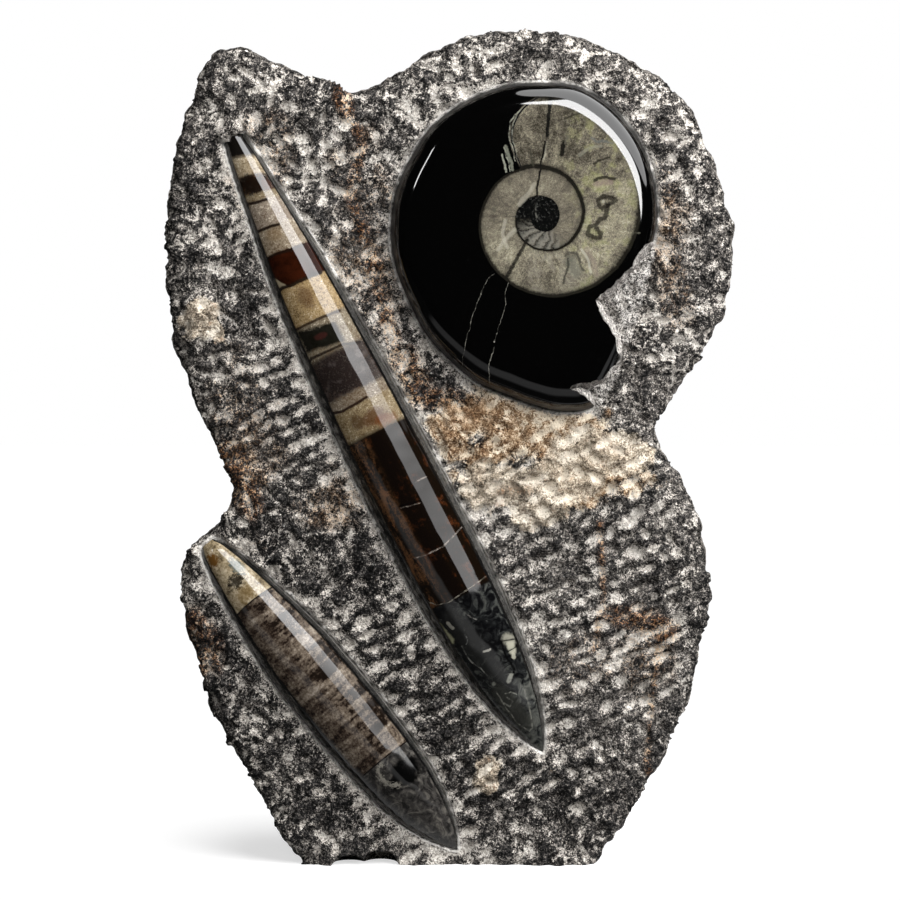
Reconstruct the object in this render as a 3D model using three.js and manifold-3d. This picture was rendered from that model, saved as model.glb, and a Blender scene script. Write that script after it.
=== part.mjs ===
// A free-standing fossil plate: two straight shells (orthoceras) and one coiled shell (goniatite), polished
// and raised from a hand-hewn slab of dark limestone that stands on its flat cut foot.
// Millimetres, +Z up. The carved face looks along -Y, and y = 0 is the mean stone face until the pieces are
// assembled.

import * as THREE from "three";
import { ImprovedNoise } from "three/addons/math/ImprovedNoise.js";
import { mergeVertices } from "three/addons/utils/BufferGeometryUtils.js";
import Module from "manifold-3d";

// Slab: driving dimensions

const footThickness = 55;
const topThickness = 43;
const slabHeight = 400;
const pocketGap = 0.4;

// Outline of the slab in x and z, clockwise as seen from the front, from the foot's left end. The first and
// last points lie below the foot, where the slab is then cut flat.
const footOverhang = -9;
const slabOutline = [
  [-69, footOverhang], [-72, 2], [-79, 9], [-92, 36], [-109, 64], [-117, 84], [-123, 103], [-128, 126],
  [-130, 139], [-125, 151], [-108, 168], [-104.5, 178], [-108, 189], [-116, 208], [-124, 228], [-130, 247],
  [-134, 266], [-136, 294], [-134.5, 316], [-131, 341], [-119, 378], [-111, 389], [-104.5, 392],
  [-93, 390], [-76, 382], [-61, 376.5], [-47, 370.5], [-35, 373.5], [-23, 380], [-11, 387.5], [4, 395],
  [20, 398.5], [39, 399.5], [60, 397], [78, 390], [96, 380], [111, 367.5], [120, 352.5], [125, 340],
  [131, 323], [136, 303], [135, 280], [132, 265], [126, 255], [116, 237], [106, 222], [99, 208],
  [103, 198.5], [111, 185], [119, 170], [123, 150.5], [125, 131], [123, 117], [120, 98], [115.5, 80],
  [107, 60], [95, 36], [84, 20], [75, 7], [71, 0], [69, footOverhang],
];
const slabCentre = new THREE.Vector2(0, 198);

// Hewn surface: facet sizes, the number of rings of facets, and the rounded edge, which falls through a share of
// a full quarter round
const faceFacet = 7.6;
const sideFacet = 10.5;
const backFacet = 17;
const faceRings = 24;
const backRings = 11;
const fewestFacets = 6;
const bevelWidth = 13;
const bevelDepth = 10;
const bevelShare = 0.96;
const backInset = 11;

// Sides: how far they draw in towards the back, the depth at which dents begin to show, and the level of each ring
// as a share of the thickness
const sideTaper = 5;
const dentStart = 1;
const sideLevels = [0.36, 0.52, 0.68, 0.84];

// Height, pitch and noise layer of each kind of relief, and the finer ripple over each as shares of both
const relief = {
  swell: { height: 1.8, pitch: 62, layer: 0 },
  chisel: { height: 3, pitch: 4.6, layer: 5 },
  brokenEdge: { height: 2.4, pitch: 19, layer: 9 },
  ringWobble: { height: 1.6, pitch: 9, layer: 31 },
  sideLump: { height: 2, pitch: 21, layer: 40 },
  sideWave: { height: 1.6, pitch: 12, layer: 50 },
  backSwell: { height: 2.4, pitch: 70, layer: 130 },
  backSplit: { height: 3.2, pitch: 24, layer: 90 },
};
const ripple = { height: 0.5, pitch: 0.47 };

// Two shallow chips broken from the foot's front edge: centre x, half width, height and depth into the foot
const footChips = [
  { x: -48, halfWidth: 8, height: 4, depth: 11 },
  { x: -33, halfWidth: 8.5, height: 6.5, depth: 14 },
];
const chipSides = 10;
const chipRings = 7;

// Straight shells: a spindle of revolution, flattened towards the stone face. Its axis runs from the narrow
// end to the pointed end. Each station is a distance along it and the half width there.
const longShell = {
  from: [-104.6, 352.3],
  to: [45.1, 54.2],
  stations: [
    [0, 4], [14, 6.7], [40, 10], [70, 13.9], [100, 16.3], [130, 17.9], [160, 19], [190, 19.7],
    [220, 19.9], [250, 19.3], [275, 17.6], [295, 14.6], [310, 10.9], [322, 6.4], [330, 2.6],
  ],
  length: 333.6,
  bow: 2.2,
  flatness: 0.76,
  axisDepth: 1.5,
  sides: 26,
};
const shortShell = {
  from: [-115.7, 154.6],
  to: [4.3, 6.7],
  stations: [
    [0.4, 3.4], [4, 6], [14, 8.9], [30, 12.3], [50, 15.5], [70, 17.7], [90, 18.2], [110, 18.2],
    [130, 17.5], [150, 15.8], [165, 12.5], [178, 7.5], [186, 3.1],
  ],
  length: 190.4,
  bow: 0,
  flatness: 0.76,
  axisDepth: 1.5,
  sides: 24,
};

// Coiled shell: an egg-shaped dome, nearly flat on top and steep at its rim. The section runs from the dome's
// middle out to the rim. Each entry is a share of the outline, a share of the height and the number of sides.
const discCentre = new THREE.Vector2(46, 306);
const discOutline = [
  [40, 374], [59, 373], [72, 366.5], [84, 355.5], [93, 341.5], [98, 325], [99, 310], [97, 297],
  [93.5, 281], [88.5, 263], [83, 246], [77, 232], [69, 220], [53, 218], [40, 221], [28, 225.5],
  [15, 231], [3, 240], [-10, 253.5], [-18.5, 269], [-25, 285], [-27.5, 299], [-27, 313], [-24, 326.5],
  [-17, 340.5], [-10, 351.5], [0, 360.5], [13, 368], [28, 373],
];
const discSection = [
  [0, 1, 1], [0.5, 1, 40], [0.72, 0.997, 56], [0.82, 0.979, 56], [0.88, 0.933, 56], [0.925, 0.844, 56],
  [0.96, 0.692, 56], [0.985, 0.463, 56], [1, 0, 56],
];
const discHeight = 15.5;

// Underside of the disc: shares of the outline and of its depth in the stone, and the number of sides
const discUnderside = [[0.985, 0.6, 56], [0.9, 1, 28], [0, 1, 1]];
const discEmbed = 9;

// Break in the disc's lower right rim: the jagged edge, closed by points outside the disc
const breakOutline = [
  [95.5, 298.5], [91.5, 295], [85, 285], [69.5, 271], [73, 263], [78, 254.5], [81, 243.5], [77.5, 238],
  [71.5, 234], [58, 229.5], [69, 221], [73, 208], [104, 215], [112, 296],
];

// Fineness of the curves' length table, and how near two vertices are joined
const curveDivisions = 1200;
const joinDistance = 1e-4;

const wasm = await Module();
wasm.setup();
const noise = new ImprovedNoise();

// Solids and booleans

function toSolid(geometry) {
  const bare = geometry.clone();
  bare.deleteAttribute("normal");
  bare.deleteAttribute("uv");
  const merged = mergeVertices(bare, joinDistance);
  const vertProperties = new Float32Array(merged.attributes.position.array);
  const triVerts = new Uint32Array(merged.index.array);
  return new wasm.Manifold(new wasm.Mesh({ numProp: 3, vertProperties, triVerts }));
}

function toGeometry(solid) {
  const mesh = solid.getMesh();
  const geometry = new THREE.BufferGeometry();
  geometry.setAttribute("position", new THREE.BufferAttribute(mesh.vertProperties, 3));
  geometry.setIndex(new THREE.BufferAttribute(mesh.triVerts, 1));
  geometry.computeVertexNormals();
  return geometry;
}

// Closed curve through a list of [x, z] points
function closedCurve(outline) {
  const points = outline.map(([x, z]) => new THREE.Vector3(x, 0, z));
  const curve = new THREE.CatmullRomCurve3(points, true, "centripetal");
  curve.arcLengthDivisions = curveDivisions;
  return curve;
}

// A closed [x, z] outline moved outwards by a distance
function grownOutline(points, distance) {
  const area = THREE.ShapeUtils.area(points.map(([x, z]) => new THREE.Vector2(x, z)));
  const outwards = area < 0 ? 1 : -1;
  return points.map(([x, z], i) => {
    const before = points[(i + points.length - 1) % points.length];
    const after = points[(i + 1) % points.length];
    const along = new THREE.Vector2(after[0] - before[0], after[1] - before[1]).normalize();
    return [x - along.y * distance * outwards, z + along.x * distance * outwards];
  });
}

// A ring of evenly spaced points, where place(u) gives the point at the share u of the way round
function makeRing(count, offset, place) {
  const shares = Array.from({ length: count }, (_, i) => (i + offset) / count);
  return { shares, points: shares.map(place) };
}

// Closed skin over a list of rings. The first and last rings are single points, and neighbouring rings may
// differ in their number of points.
function skinOver(rings) {
  const positions = [];
  const index = [];
  let start = 0;
  rings.forEach((ring, k) => {
    ring.points.forEach((p) => positions.push(p.x, p.y, p.z));
    if (k > 0) {
      const before = rings[k - 1];
      index.push(...stitch(before.shares, start - before.points.length, ring.shares, start));
    }
    start += ring.points.length;
  });
  const geometry = new THREE.BufferGeometry();
  geometry.setAttribute("position", new THREE.Float32BufferAttribute(positions, 3));
  geometry.setIndex(index);
  return geometry;
}

// Triangles between two rings, walking round both at once and always taking the shorter step
function stitch(sharesA, startA, sharesB, startB) {
  const triangles = [];
  const shareAt = (shares, i) => shares[i % shares.length] + Math.floor(i / shares.length);
  const stepsA = sharesA.length > 1 ? sharesA.length : 0;
  const stepsB = sharesB.length > 1 ? sharesB.length : 0;
  let a = 0;
  let b = 0;
  while (a < stepsA || b < stepsB) {
    const here = startA + (a % sharesA.length);
    const there = startB + (b % sharesB.length);
    const nextA = shareAt(sharesA, a + 1);
    const nextB = shareAt(sharesB, b + 1);
    if (b >= stepsB || (a < stepsA && nextA <= nextB)) {
      a += 1;
      triangles.push(here, startA + (a % sharesA.length), there);
    } else {
      b += 1;
      triangles.push(here, startB + (b % sharesB.length), there);
    }
  }
  return triangles;
}

// Slab

const outlineCurve = closedCurve(slabOutline);
const outlineLength = outlineCurve.getLength();
const meanRadius = outlineLength / (2 * Math.PI);

// Relief at a place: a lump with a finer ripple over it
function reliefAt({ height, pitch, layer }, x, z, depth = 0) {
  const y = layer + depth;
  const fine = pitch * ripple.pitch;
  const lump = noise.noise(x / pitch, y / pitch, z / pitch);
  const overLump = noise.noise(z / fine, x / fine, y / fine);
  return height * (lump + ripple.height * overLump);
}

function slabThickness(z) {
  return THREE.MathUtils.lerp(footThickness, topThickness, THREE.MathUtils.clamp(z / slabHeight, 0, 1));
}

// Quarter-round fall of the face towards the edge, at a distance from the outline
function bevelFall(distance) {
  const reach = THREE.MathUtils.clamp(1 - distance / bevelWidth, 0, 1);
  return bevelDepth * (1 - Math.sqrt(1 - bevelShare * reach * reach));
}

// The point at a share u of the way round the outline, drawn in towards the middle by a distance
function outlinePoint(u, inset) {
  const edge = outlineCurve.getPointAt(u % 1);
  const radius = Math.hypot(edge.x - slabCentre.x, edge.z - slabCentre.y);
  const share = 1 - inset(edge, radius) / radius;
  return {
    x: slabCentre.x + (edge.x - slabCentre.x) * share,
    z: slabCentre.y + (edge.z - slabCentre.y) * share,
    distance: (1 - share) * radius,
  };
}

// Rings that grow from the middle to the outline's size times the largest scale
function growingRings(facet, ringCount, largest, depthAt) {
  return Array.from({ length: ringCount + 1 }, (_, k) => {
    const scale = (k / ringCount) * largest;
    const count = k === 0 ? 1 : Math.max(fewestFacets, Math.round((outlineLength * scale) / facet));
    const inset = (edge, radius) => {
      const wobble = k < ringCount ? reliefAt(relief.ringWobble, edge.x, edge.z, k) : 0;
      return radius * (1 - scale) + wobble;
    };
    return makeRing(count, (k % 2) * 0.5, (u) => {
      const { x, z, distance } = outlinePoint(u, inset);
      return new THREE.Vector3(x, depthAt(x, z, distance), z);
    });
  });
}

function faceDepth(x, z, distance) {
  const broken = reliefAt(relief.brokenEdge, x, z) * Math.exp(-distance / bevelWidth);
  return reliefAt(relief.swell, x, z) + reliefAt(relief.chisel, x, z) + broken + bevelFall(distance);
}

function backDepth(x, z) {
  return slabThickness(z) + reliefAt(relief.backSwell, x, z) + reliefAt(relief.backSplit, x, z);
}

function sideRings() {
  const count = Math.round(outlineLength / sideFacet);
  return sideLevels.map((level, k) => makeRing(count, (k % 2) * 0.5, (u) => {
    const lump = (edge) => {
      const dent = relief.sideLump.height + reliefAt(relief.sideLump, edge.x, edge.z, level * footThickness);
      return Math.max(dent - dentStart, 0) + sideTaper * level * level;
    };
    const { x, z } = outlinePoint(u, lump);
    const y = level * slabThickness(z) + reliefAt(relief.sideWave, x, z, level * footThickness);
    return new THREE.Vector3(x, y, z);
  }));
}

function slabBlank() {
  const face = growingRings(faceFacet, faceRings, 1, faceDepth);
  const backLargest = 1 - backInset / meanRadius;
  const back = growingRings(backFacet, backRings, backLargest, backDepth);
  return toSolid(skinOver([...face, ...sideRings(), ...back.reverse()]));
}

// A block that takes away everything below the foot
function belowFoot() {
  const block = new THREE.BoxGeometry(slabHeight, slabHeight, slabHeight);
  block.translate(0, 0, -slabHeight / 2);
  return toSolid(block);
}

function footChip({ x, halfWidth, height, depth }) {
  const chip = new THREE.SphereGeometry(1, chipSides, chipRings);
  chip.scale(halfWidth, depth, height);
  chip.translate(x, bevelDepth / 2, 0);
  return toSolid(chip);
}

// Straight shells

function spindle(shell, clearance) {
  const profile = shell.stations.map(([s, halfWidth]) => new THREE.Vector2(halfWidth + clearance, s));
  profile[0].y -= clearance;
  profile.unshift(new THREE.Vector2(0, profile[0].y));
  profile.push(new THREE.Vector2(0, shell.length + clearance * 2));
  const body = new THREE.LatheGeometry(profile, shell.sides);
  bendSideways(body, shell);
  body.scale(1, 1, shell.flatness);
  const along = new THREE.Vector2(shell.to[0] - shell.from[0], shell.to[1] - shell.from[1]);
  const turn = Math.atan2(along.y, along.x) - Math.PI / 2;
  body.rotateZ(turn);
  body.rotateX(Math.PI / 2);
  body.translate(shell.from[0], shell.axisDepth, shell.from[1]);
  return toSolid(body);
}

// Slight bow of the axis towards the left, greatest half way along
function bendSideways(body, shell) {
  const position = body.attributes.position;
  for (let i = 0; i < position.count; i += 1) {
    const share = THREE.MathUtils.clamp(position.getY(i) / shell.length, 0, 1);
    position.setX(i, position.getX(i) + shell.bow * Math.sin(Math.PI * share));
  }
}

// Coiled shell

function discBlank(clearance) {
  const curve = closedCurve(grownOutline(discOutline, clearance));
  const place = (scale, y) => (u) => {
    const edge = curve.getPointAt(u % 1);
    return new THREE.Vector3(
      discCentre.x + (edge.x - discCentre.x) * scale,
      y,
      discCentre.y + (edge.z - discCentre.y) * scale,
    );
  };
  const ringAt = ([scale, , count], k, y) => makeRing(count, (k % 2) * 0.5, place(scale, y));
  const above = discSection.map((entry, k) => ringAt(entry, k, -(discHeight + clearance) * entry[1]));
  const below = discUnderside.map((entry, k) => ringAt(entry, k + 1, (discEmbed + clearance) * entry[1]));
  return toSolid(skinOver([...above, ...below]));
}

function breakCutter(clearance) {
  const points = grownOutline(breakOutline, clearance);
  const shape = new THREE.Shape(points.map(([x, z]) => new THREE.Vector2(x, z)));
  const block = new THREE.ExtrudeGeometry(shape, { depth: footThickness, bevelEnabled: false });
  block.rotateX(Math.PI / 2);
  block.translate(0, footThickness / 2, 0);
  return toSolid(block);
}

function disc(clearance) {
  return discBlank(clearance).subtract(breakCutter(-clearance));
}

// Assembly

const longBody = spindle(longShell, 0);
const shortBody = spindle(shortShell, 0);
const discBody = disc(0);
const slab = slabBlank()
  .subtract(belowFoot())
  .subtract(footChip(footChips[0]))
  .subtract(footChip(footChips[1]))
  .subtract(spindle(longShell, pocketGap))
  .subtract(spindle(shortShell, pocketGap))
  .subtract(disc(pocketGap));

function piece(name, solid, color, roughness) {
  const material = new THREE.MeshStandardMaterial({ color, roughness, metalness: 0 });
  const mesh = new THREE.Mesh(toGeometry(solid), material);
  mesh.name = name;
  return mesh;
}

const fossilPlate = new THREE.Group();
fossilPlate.add(piece("stone_slab", slab, 0x5b5753, 0.9));
fossilPlate.add(piece("long_orthoceras", longBody, 0x4a3426, 0.2));
fossilPlate.add(piece("short_orthoceras", shortBody, 0x4c443c, 0.2));
fossilPlate.add(piece("goniatite", discBody, 0x161515, 0.15));

// The origin is the middle of the foot's level: the centre of the whole plate's box, at its bottom
const box = new THREE.Box3().setFromObject(fossilPlate);
const middle = box.getCenter(new THREE.Vector3());
fossilPlate.position.set(-middle.x, -middle.y, -box.min.z);

export default fossilPlate;
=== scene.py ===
"""Looks of the free-standing fossil plate: hewn limestone with two polished straight shells and a coiled one.

Shapes are worked out in millimetres, x to the right and z up as seen from the carved face, y into the stone
with y = 0 at the mean stone face. They are turned into metres in the frame when a mesh is made.
"""

import math
from itertools import product

import bmesh
import bpy
import numpy as np
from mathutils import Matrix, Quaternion, Vector
from mathutils.geometry import delaunay_2d_cdt
from mathutils.kdtree import KDTree


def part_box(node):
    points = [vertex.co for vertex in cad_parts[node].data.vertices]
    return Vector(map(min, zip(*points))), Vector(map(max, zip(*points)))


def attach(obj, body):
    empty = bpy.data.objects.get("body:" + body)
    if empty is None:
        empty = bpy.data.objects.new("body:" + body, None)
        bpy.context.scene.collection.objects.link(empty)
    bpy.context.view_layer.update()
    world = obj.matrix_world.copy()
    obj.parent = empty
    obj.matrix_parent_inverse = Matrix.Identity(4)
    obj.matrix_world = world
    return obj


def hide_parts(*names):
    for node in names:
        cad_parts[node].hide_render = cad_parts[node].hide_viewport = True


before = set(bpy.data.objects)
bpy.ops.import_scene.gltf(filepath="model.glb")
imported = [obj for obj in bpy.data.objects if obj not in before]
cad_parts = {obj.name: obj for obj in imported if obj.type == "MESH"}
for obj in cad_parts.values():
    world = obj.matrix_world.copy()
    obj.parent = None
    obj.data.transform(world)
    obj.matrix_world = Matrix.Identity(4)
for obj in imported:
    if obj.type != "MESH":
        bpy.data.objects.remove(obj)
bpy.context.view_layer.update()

MM = 0.001

# Slab

SLAB_HEIGHT = 400
FOOT_THICKNESS = 55
TOP_THICKNESS = 43
SLAB_OUTLINE = [
    (-72, 2), (-79, 9), (-92, 36), (-109, 64), (-117, 84), (-123, 103), (-128, 126),
    (-130, 139), (-125, 151), (-108, 168), (-104.5, 178), (-108, 189), (-116, 208), (-124, 228), (-130, 247),
    (-134, 266), (-136, 294), (-134.5, 316), (-131, 341), (-119, 378), (-111, 389), (-104.5, 392),
    (-93, 390), (-76, 382), (-61, 376.5), (-47, 370.5), (-35, 373.5), (-23, 380), (-11, 387.5), (4, 395),
    (20, 398.5), (39, 399.5), (60, 397), (78, 390), (96, 380), (111, 367.5), (120, 352.5), (125, 340),
    (131, 323), (136, 303), (135, 280), (132, 265), (126, 255), (116, 237), (106, 222), (99, 208),
    (103, 198.5), (111, 185), (119, 170), (123, 150.5), (125, 131), (123, 117), (120, 98), (115.5, 80),
    (107, 60), (95, 36), (84, 20), (75, 7), (71, 0), (70, -7), (60, -16), (35, -21), (0, -22), (-35, -21),
    (-60, -16), (-71, -6),
]
FOOT_CHIPS = [(-48, 8, 4, 11), (-33, 8.5, 6.5, 14)]
BEVEL_WIDTH = 13
BEVEL_DEPTH = 10

# Straight shells: axis ends, stations of distance along the axis and half width, and the axis's bow and depth

LONG_SHELL = {
    "from": (-104.6, 352.3), "to": (45.1, 54.2), "length": 333.6, "bow": 2.2, "flatness": 0.76, "depth": 1.5,
    "stations": [
        (0, 4), (14, 6.7), (40, 10), (70, 13.9), (100, 16.3), (130, 17.9), (160, 19), (190, 19.7),
        (220, 19.9), (250, 19.3), (275, 17.6), (295, 14.6), (310, 10.9), (322, 6.4), (330, 2.6),
    ],
}
SHORT_SHELL = {
    "from": (-115.7, 154.6), "to": (4.3, 6.7), "length": 190.4, "bow": 0, "flatness": 0.76, "depth": 1.5,
    "stations": [
        (0.4, 3.4), (4, 6), (14, 8.9), (30, 12.3), (50, 15.5), (70, 17.7), (90, 18.2), (110, 18.2),
        (130, 17.5), (150, 15.8), (165, 12.5), (178, 7.5), (186, 3.1),
    ],
}

# Coiled shell

DISC_CENTRE = (46, 306)
DISC_OUTLINE = [
    (40, 374), (59, 373), (72, 366.5), (84, 355.5), (93, 341.5), (98, 325), (99, 310), (97, 297),
    (93.5, 281), (88.5, 263), (83, 246), (77, 232), (69, 220), (53, 218), (40, 221), (28, 225.5),
    (15, 231), (3, 240), (-10, 253.5), (-18.5, 269), (-25, 285), (-27.5, 299), (-27, 313), (-24, 326.5),
    (-17, 340.5), (-10, 351.5), (0, 360.5), (13, 368), (28, 373),
]
DISC_HEIGHT = 15.5
DISC_EMBED = 9
DOME_POWER = 16
BREAK_EDGE = [
    (95.5, 298.5), (91.5, 295), (85, 285), (69.5, 271), (73, 263), (78, 254.5), (81, 243.5), (77.5, 238),
    (71.5, 234), (58, 229.5), (69, 221),
]
BREAK_AREA = np.array(BREAK_EDGE + [(73, 208), (104, 215), (112, 296)])
POCKET_GAP = 0.4

FACE_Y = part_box("goniatite")[0].y / MM + DISC_HEIGHT


# Seeded noise

# Added to places in a lattice, which keeps them above zero
LATTICE_SHIFT = 1000


def lattice_value(ix, iy, iz, seed):
    """A random number from 0 to 1 for each cell of a lattice."""
    mask = 0xFFFFFFFF
    value = (ix * 374761393 + iy * 668265263 + iz * 1442695041 + seed * 974634777) & mask
    value = ((value ^ (value >> 13)) * 1274126177) & mask
    value = ((value ^ (value >> 16)) * 2246822519) & mask
    return (value ^ (value >> 15)) / mask


def in_lattice(points, pitch):
    """Each point's place in a lattice, and the cell that holds it."""
    scaled = points / pitch + LATTICE_SHIFT
    return scaled, np.floor(scaled).astype(np.int64)


def value_noise(points, pitch, seed):
    """Smooth noise from -1 to 1 with bumps about a pitch apart."""
    scaled, cell = in_lattice(points, pitch)
    share = scaled - cell
    share = share * share * (3 - 2 * share)
    total = np.zeros(len(points))
    for corner in product((0, 1), repeat=3):
        weight = np.where(corner, share, 1 - share).prod(1)
        total += weight * lattice_value(*(cell + corner).T, seed)
    return total * 2 - 1


def fractal(points, pitch, octaves, seed):
    """Noise with finer and lower bumps on its bumps."""
    total = np.zeros(len(points))
    for k in range(octaves):
        total += value_noise(points, pitch / 2.03 ** k, seed + 7 * k) * 0.55 ** k
    return total


def scoops(points, pitch, reach, seed):
    """Broken-stone facets: the deepest of the shallow bowls around scattered centres, from 0 to about 1."""
    scaled, cell = in_lattice(points, pitch)
    deepest = np.full(len(points), -1.0)
    for step in product((-1, 0, 1), repeat=3):
        near = cell + step
        jitter = [lattice_value(*near.T, seed + k) for k in range(4)]
        offset = scaled - near - np.stack(jitter[:3], 1)
        bowl = 0.45 + 0.55 * jitter[3] - (offset ** 2).sum(1) / reach
        deepest = np.maximum(deepest, bowl)
    return deepest


def smooth_step(value, low, high):
    share = np.clip((value - low) / (high - low), 0, 1)
    return share * share * (3 - 2 * share)


# Curves and outlines

# Points on each segment of an outline's spline before they are spaced evenly
SPLINE_STEPS = 24


def in_space(flat, y=0.0):
    """[x, z] points as [x, y, z] points."""
    return np.stack([flat[:, 0], np.full(len(flat), y) if np.isscalar(y) else y, flat[:, 1]], 1)


def closed_curve(outline, spacing):
    """Points about a spacing apart on a centripetal spline through an outline."""
    points = np.array(outline, float)
    count = len(points)
    dense = []
    for i in range(count):
        p = [points[(i + k) % count] for k in (-1, 0, 1, 2)]
        knots = [0.0]
        for a, b in zip(p, p[1:]):
            knots.append(knots[-1] + max(np.hypot(*(b - a)), 1e-9) ** 0.5)
        t = np.linspace(knots[1], knots[2], SPLINE_STEPS, endpoint=False)[:, None]
        for gap in (1, 2):
            p = [((knots[k + gap] - t) * p[k] + (t - knots[k]) * p[k + 1]) / (knots[k + gap] - knots[k])
                 for k in range(4 - gap)]
        dense.append(((knots[2] - t) * p[0] + (t - knots[1]) * p[1]) / (knots[2] - knots[1]))
    return evenly_spaced(np.vstack(dense), spacing)


def evenly_spaced(line, spacing, closed=True):
    path = np.vstack([line, line[:1]]) if closed else line
    lengths = np.concatenate([[0], np.cumsum(np.hypot(*np.diff(path, axis=0).T))])
    count = max(2, int(round(lengths[-1] / spacing)))
    at = np.linspace(0, lengths[-1], count + (0 if closed else 1), endpoint=not closed)
    return np.stack([np.interp(at, lengths, path[:, k]) for k in (0, 1)], 1)


def outward_normals(loop):
    """Unit normals of a closed loop, pointing out of it."""
    along = np.roll(loop, -1, 0) - np.roll(loop, 1, 0)
    along /= np.hypot(*along.T)[:, None]
    turned = np.stack([along[:, 1], -along[:, 0]], 1)
    area = 0.5 * np.sum(loop[:, 0] * np.roll(loop[:, 1], -1) - np.roll(loop[:, 0], -1) * loop[:, 1])
    return turned if area > 0 else -turned


def eased(vectors, reach):
    """Vectors round a loop, averaged over a reach of neighbours, so that an offset along them never folds."""
    weights = np.hanning(2 * reach + 1)
    weights /= weights.sum()
    return sum(w * np.roll(vectors, k - reach, 0) for k, w in enumerate(weights))


def inside(points, loop):
    """Whether each point lies in a closed loop."""
    result = np.zeros(len(points), bool)
    for (x0, z0), (x1, z1) in zip(loop, np.roll(loop, -1, 0)):
        crosses = (z0 > points[:, 1]) != (z1 > points[:, 1])
        if z0 != z1:
            result ^= crosses & (points[:, 0] < (x1 - x0) * (points[:, 1] - z0) / (z1 - z0) + x0)
    return result


def distance_to(points, loop):
    """Distance of each point from a closed loop of close points, negative inside it."""
    tree = KDTree(len(loop))
    for i, (x, z) in enumerate(loop):
        tree.insert((x, z, 0), i)
    tree.balance()
    distance = np.array([tree.find((x, z, 0))[2] for x, z in points])
    return np.where(inside(points, loop), -distance, distance)


def triangulate(boundary, interior):
    """Delaunay triangles inside a closed boundary, as (points, triangles), the boundary's points first."""
    points = np.vstack([boundary, interior])
    edges = [(i, (i + 1) % len(boundary)) for i in range(len(boundary))]
    found = delaunay_2d_cdt([Vector(p) for p in points], edges, [], 1, 1e-7)
    verts = np.array(found[0])
    if len(verts) != len(points):
        raise ValueError("the triangulation added points")
    return verts, np.array(found[2])


# Rows of a hexagonal scatter, and how far its points stray from it, both as shares of its spacing
ROW_SHARE = 0.866
JITTER = 0.22


def scattered(low, high, spacing, seed):
    """A jittered hexagonal scatter of points over a box."""
    rng = np.random.default_rng(seed)
    nx = int((high[0] - low[0]) / spacing) + 1
    nz = int((high[1] - low[1]) / (spacing * ROW_SHARE)) + 1
    i, j = np.meshgrid(np.arange(nx), np.arange(nz))
    x = low[0] + (i + 0.5 * (j % 2)) * spacing
    z = low[1] + j * spacing * ROW_SHARE
    points = np.stack([x.ravel(), z.ravel()], 1)
    return points + rng.uniform(-JITTER, JITTER, points.shape) * spacing


def make_object(name, points, faces, attributes=None, sharp_degrees=None):
    """A mesh object from points in millimetres, with smooth shading and named float attributes."""
    co = np.array(points, float)
    co[:, 1] += FACE_Y
    mesh = bpy.data.meshes.new(name)
    mesh.from_pydata((co * MM).tolist(), [], [tuple(int(i) for i in f) for f in faces])
    mesh.validate()
    for key, values in (attributes or {}).items():
        layer = mesh.attributes.new(key, "FLOAT", "POINT")
        layer.data.foreach_set("value", np.asarray(values, np.float32))
    mesh.shade_smooth()
    if sharp_degrees:
        mesh.set_sharp_from_angle(angle=math.radians(sharp_degrees))
    obj = bpy.data.objects.new(name, mesh)
    bpy.context.scene.collection.objects.link(obj)
    return obj


def ring_faces(count, start_a, start_b):
    """Quads between two rings of the same number of points."""
    after = [(i + 1) % count for i in range(count)]
    return [(start_a + i, start_a + k, start_b + k, start_b + i) for i, k in enumerate(after)]


# Straight shells

# Samples along a shell at which its width is smoothed, and how many of them each way are averaged
WIDTH_SAMPLES = 600
WIDTH_EASE = 12
SHELL_STATIONS = 300
SHELL_SIDES = 96
LOOP_SPACING = 1.0


def shell_frame(shell):
    start = np.array(shell["from"], float)
    along = np.array(shell["to"], float) - start
    along /= np.hypot(*along)
    across = np.array([-along[1], along[0]])
    return start, along, across


def shell_width(shell, s):
    """Half width at distances along the axis, smoothed through the stations, zero at the tip."""
    stations = np.array(shell["stations"] + [(shell["length"], 0)], float)
    samples = np.linspace(-0.01, shell["length"], WIDTH_SAMPLES)
    width = np.interp(samples, stations[:, 0], stations[:, 1])
    kernel = np.hanning(2 * WIDTH_EASE + 1)
    kernel /= kernel.sum()
    before = 2 * width[0] - width[WIDTH_EASE:0:-1]
    after = -width[-2:-2 - WIDTH_EASE:-1]
    smoothed = np.convolve(np.concatenate([before, width, after]), kernel, "valid")
    return np.maximum(np.interp(s, samples, smoothed), 0)


def shell_bow(shell, s):
    return shell["bow"] * np.sin(np.pi * np.clip(s / shell["length"], 0, 1))


def shell_loop(shell):
    """The shell's outline on the stone face."""
    start, along, across = shell_frame(shell)
    s = np.linspace(0, shell["length"], 500)
    width = shell_width(shell, s)[:, None] * across
    middle = start + s[:, None] * along - shell_bow(shell, s)[:, None] * across
    return evenly_spaced(np.vstack([middle + width, (middle - width)[::-1]]), LOOP_SPACING)


def shell_coordinates(shell, points):
    """Distance along the axis and sideways of it, to the right, for [x, z] points."""
    start, along, across = shell_frame(shell)
    s = (points - start) @ along
    v = (points - start) @ across + shell_bow(shell, s)
    return s, v


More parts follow.
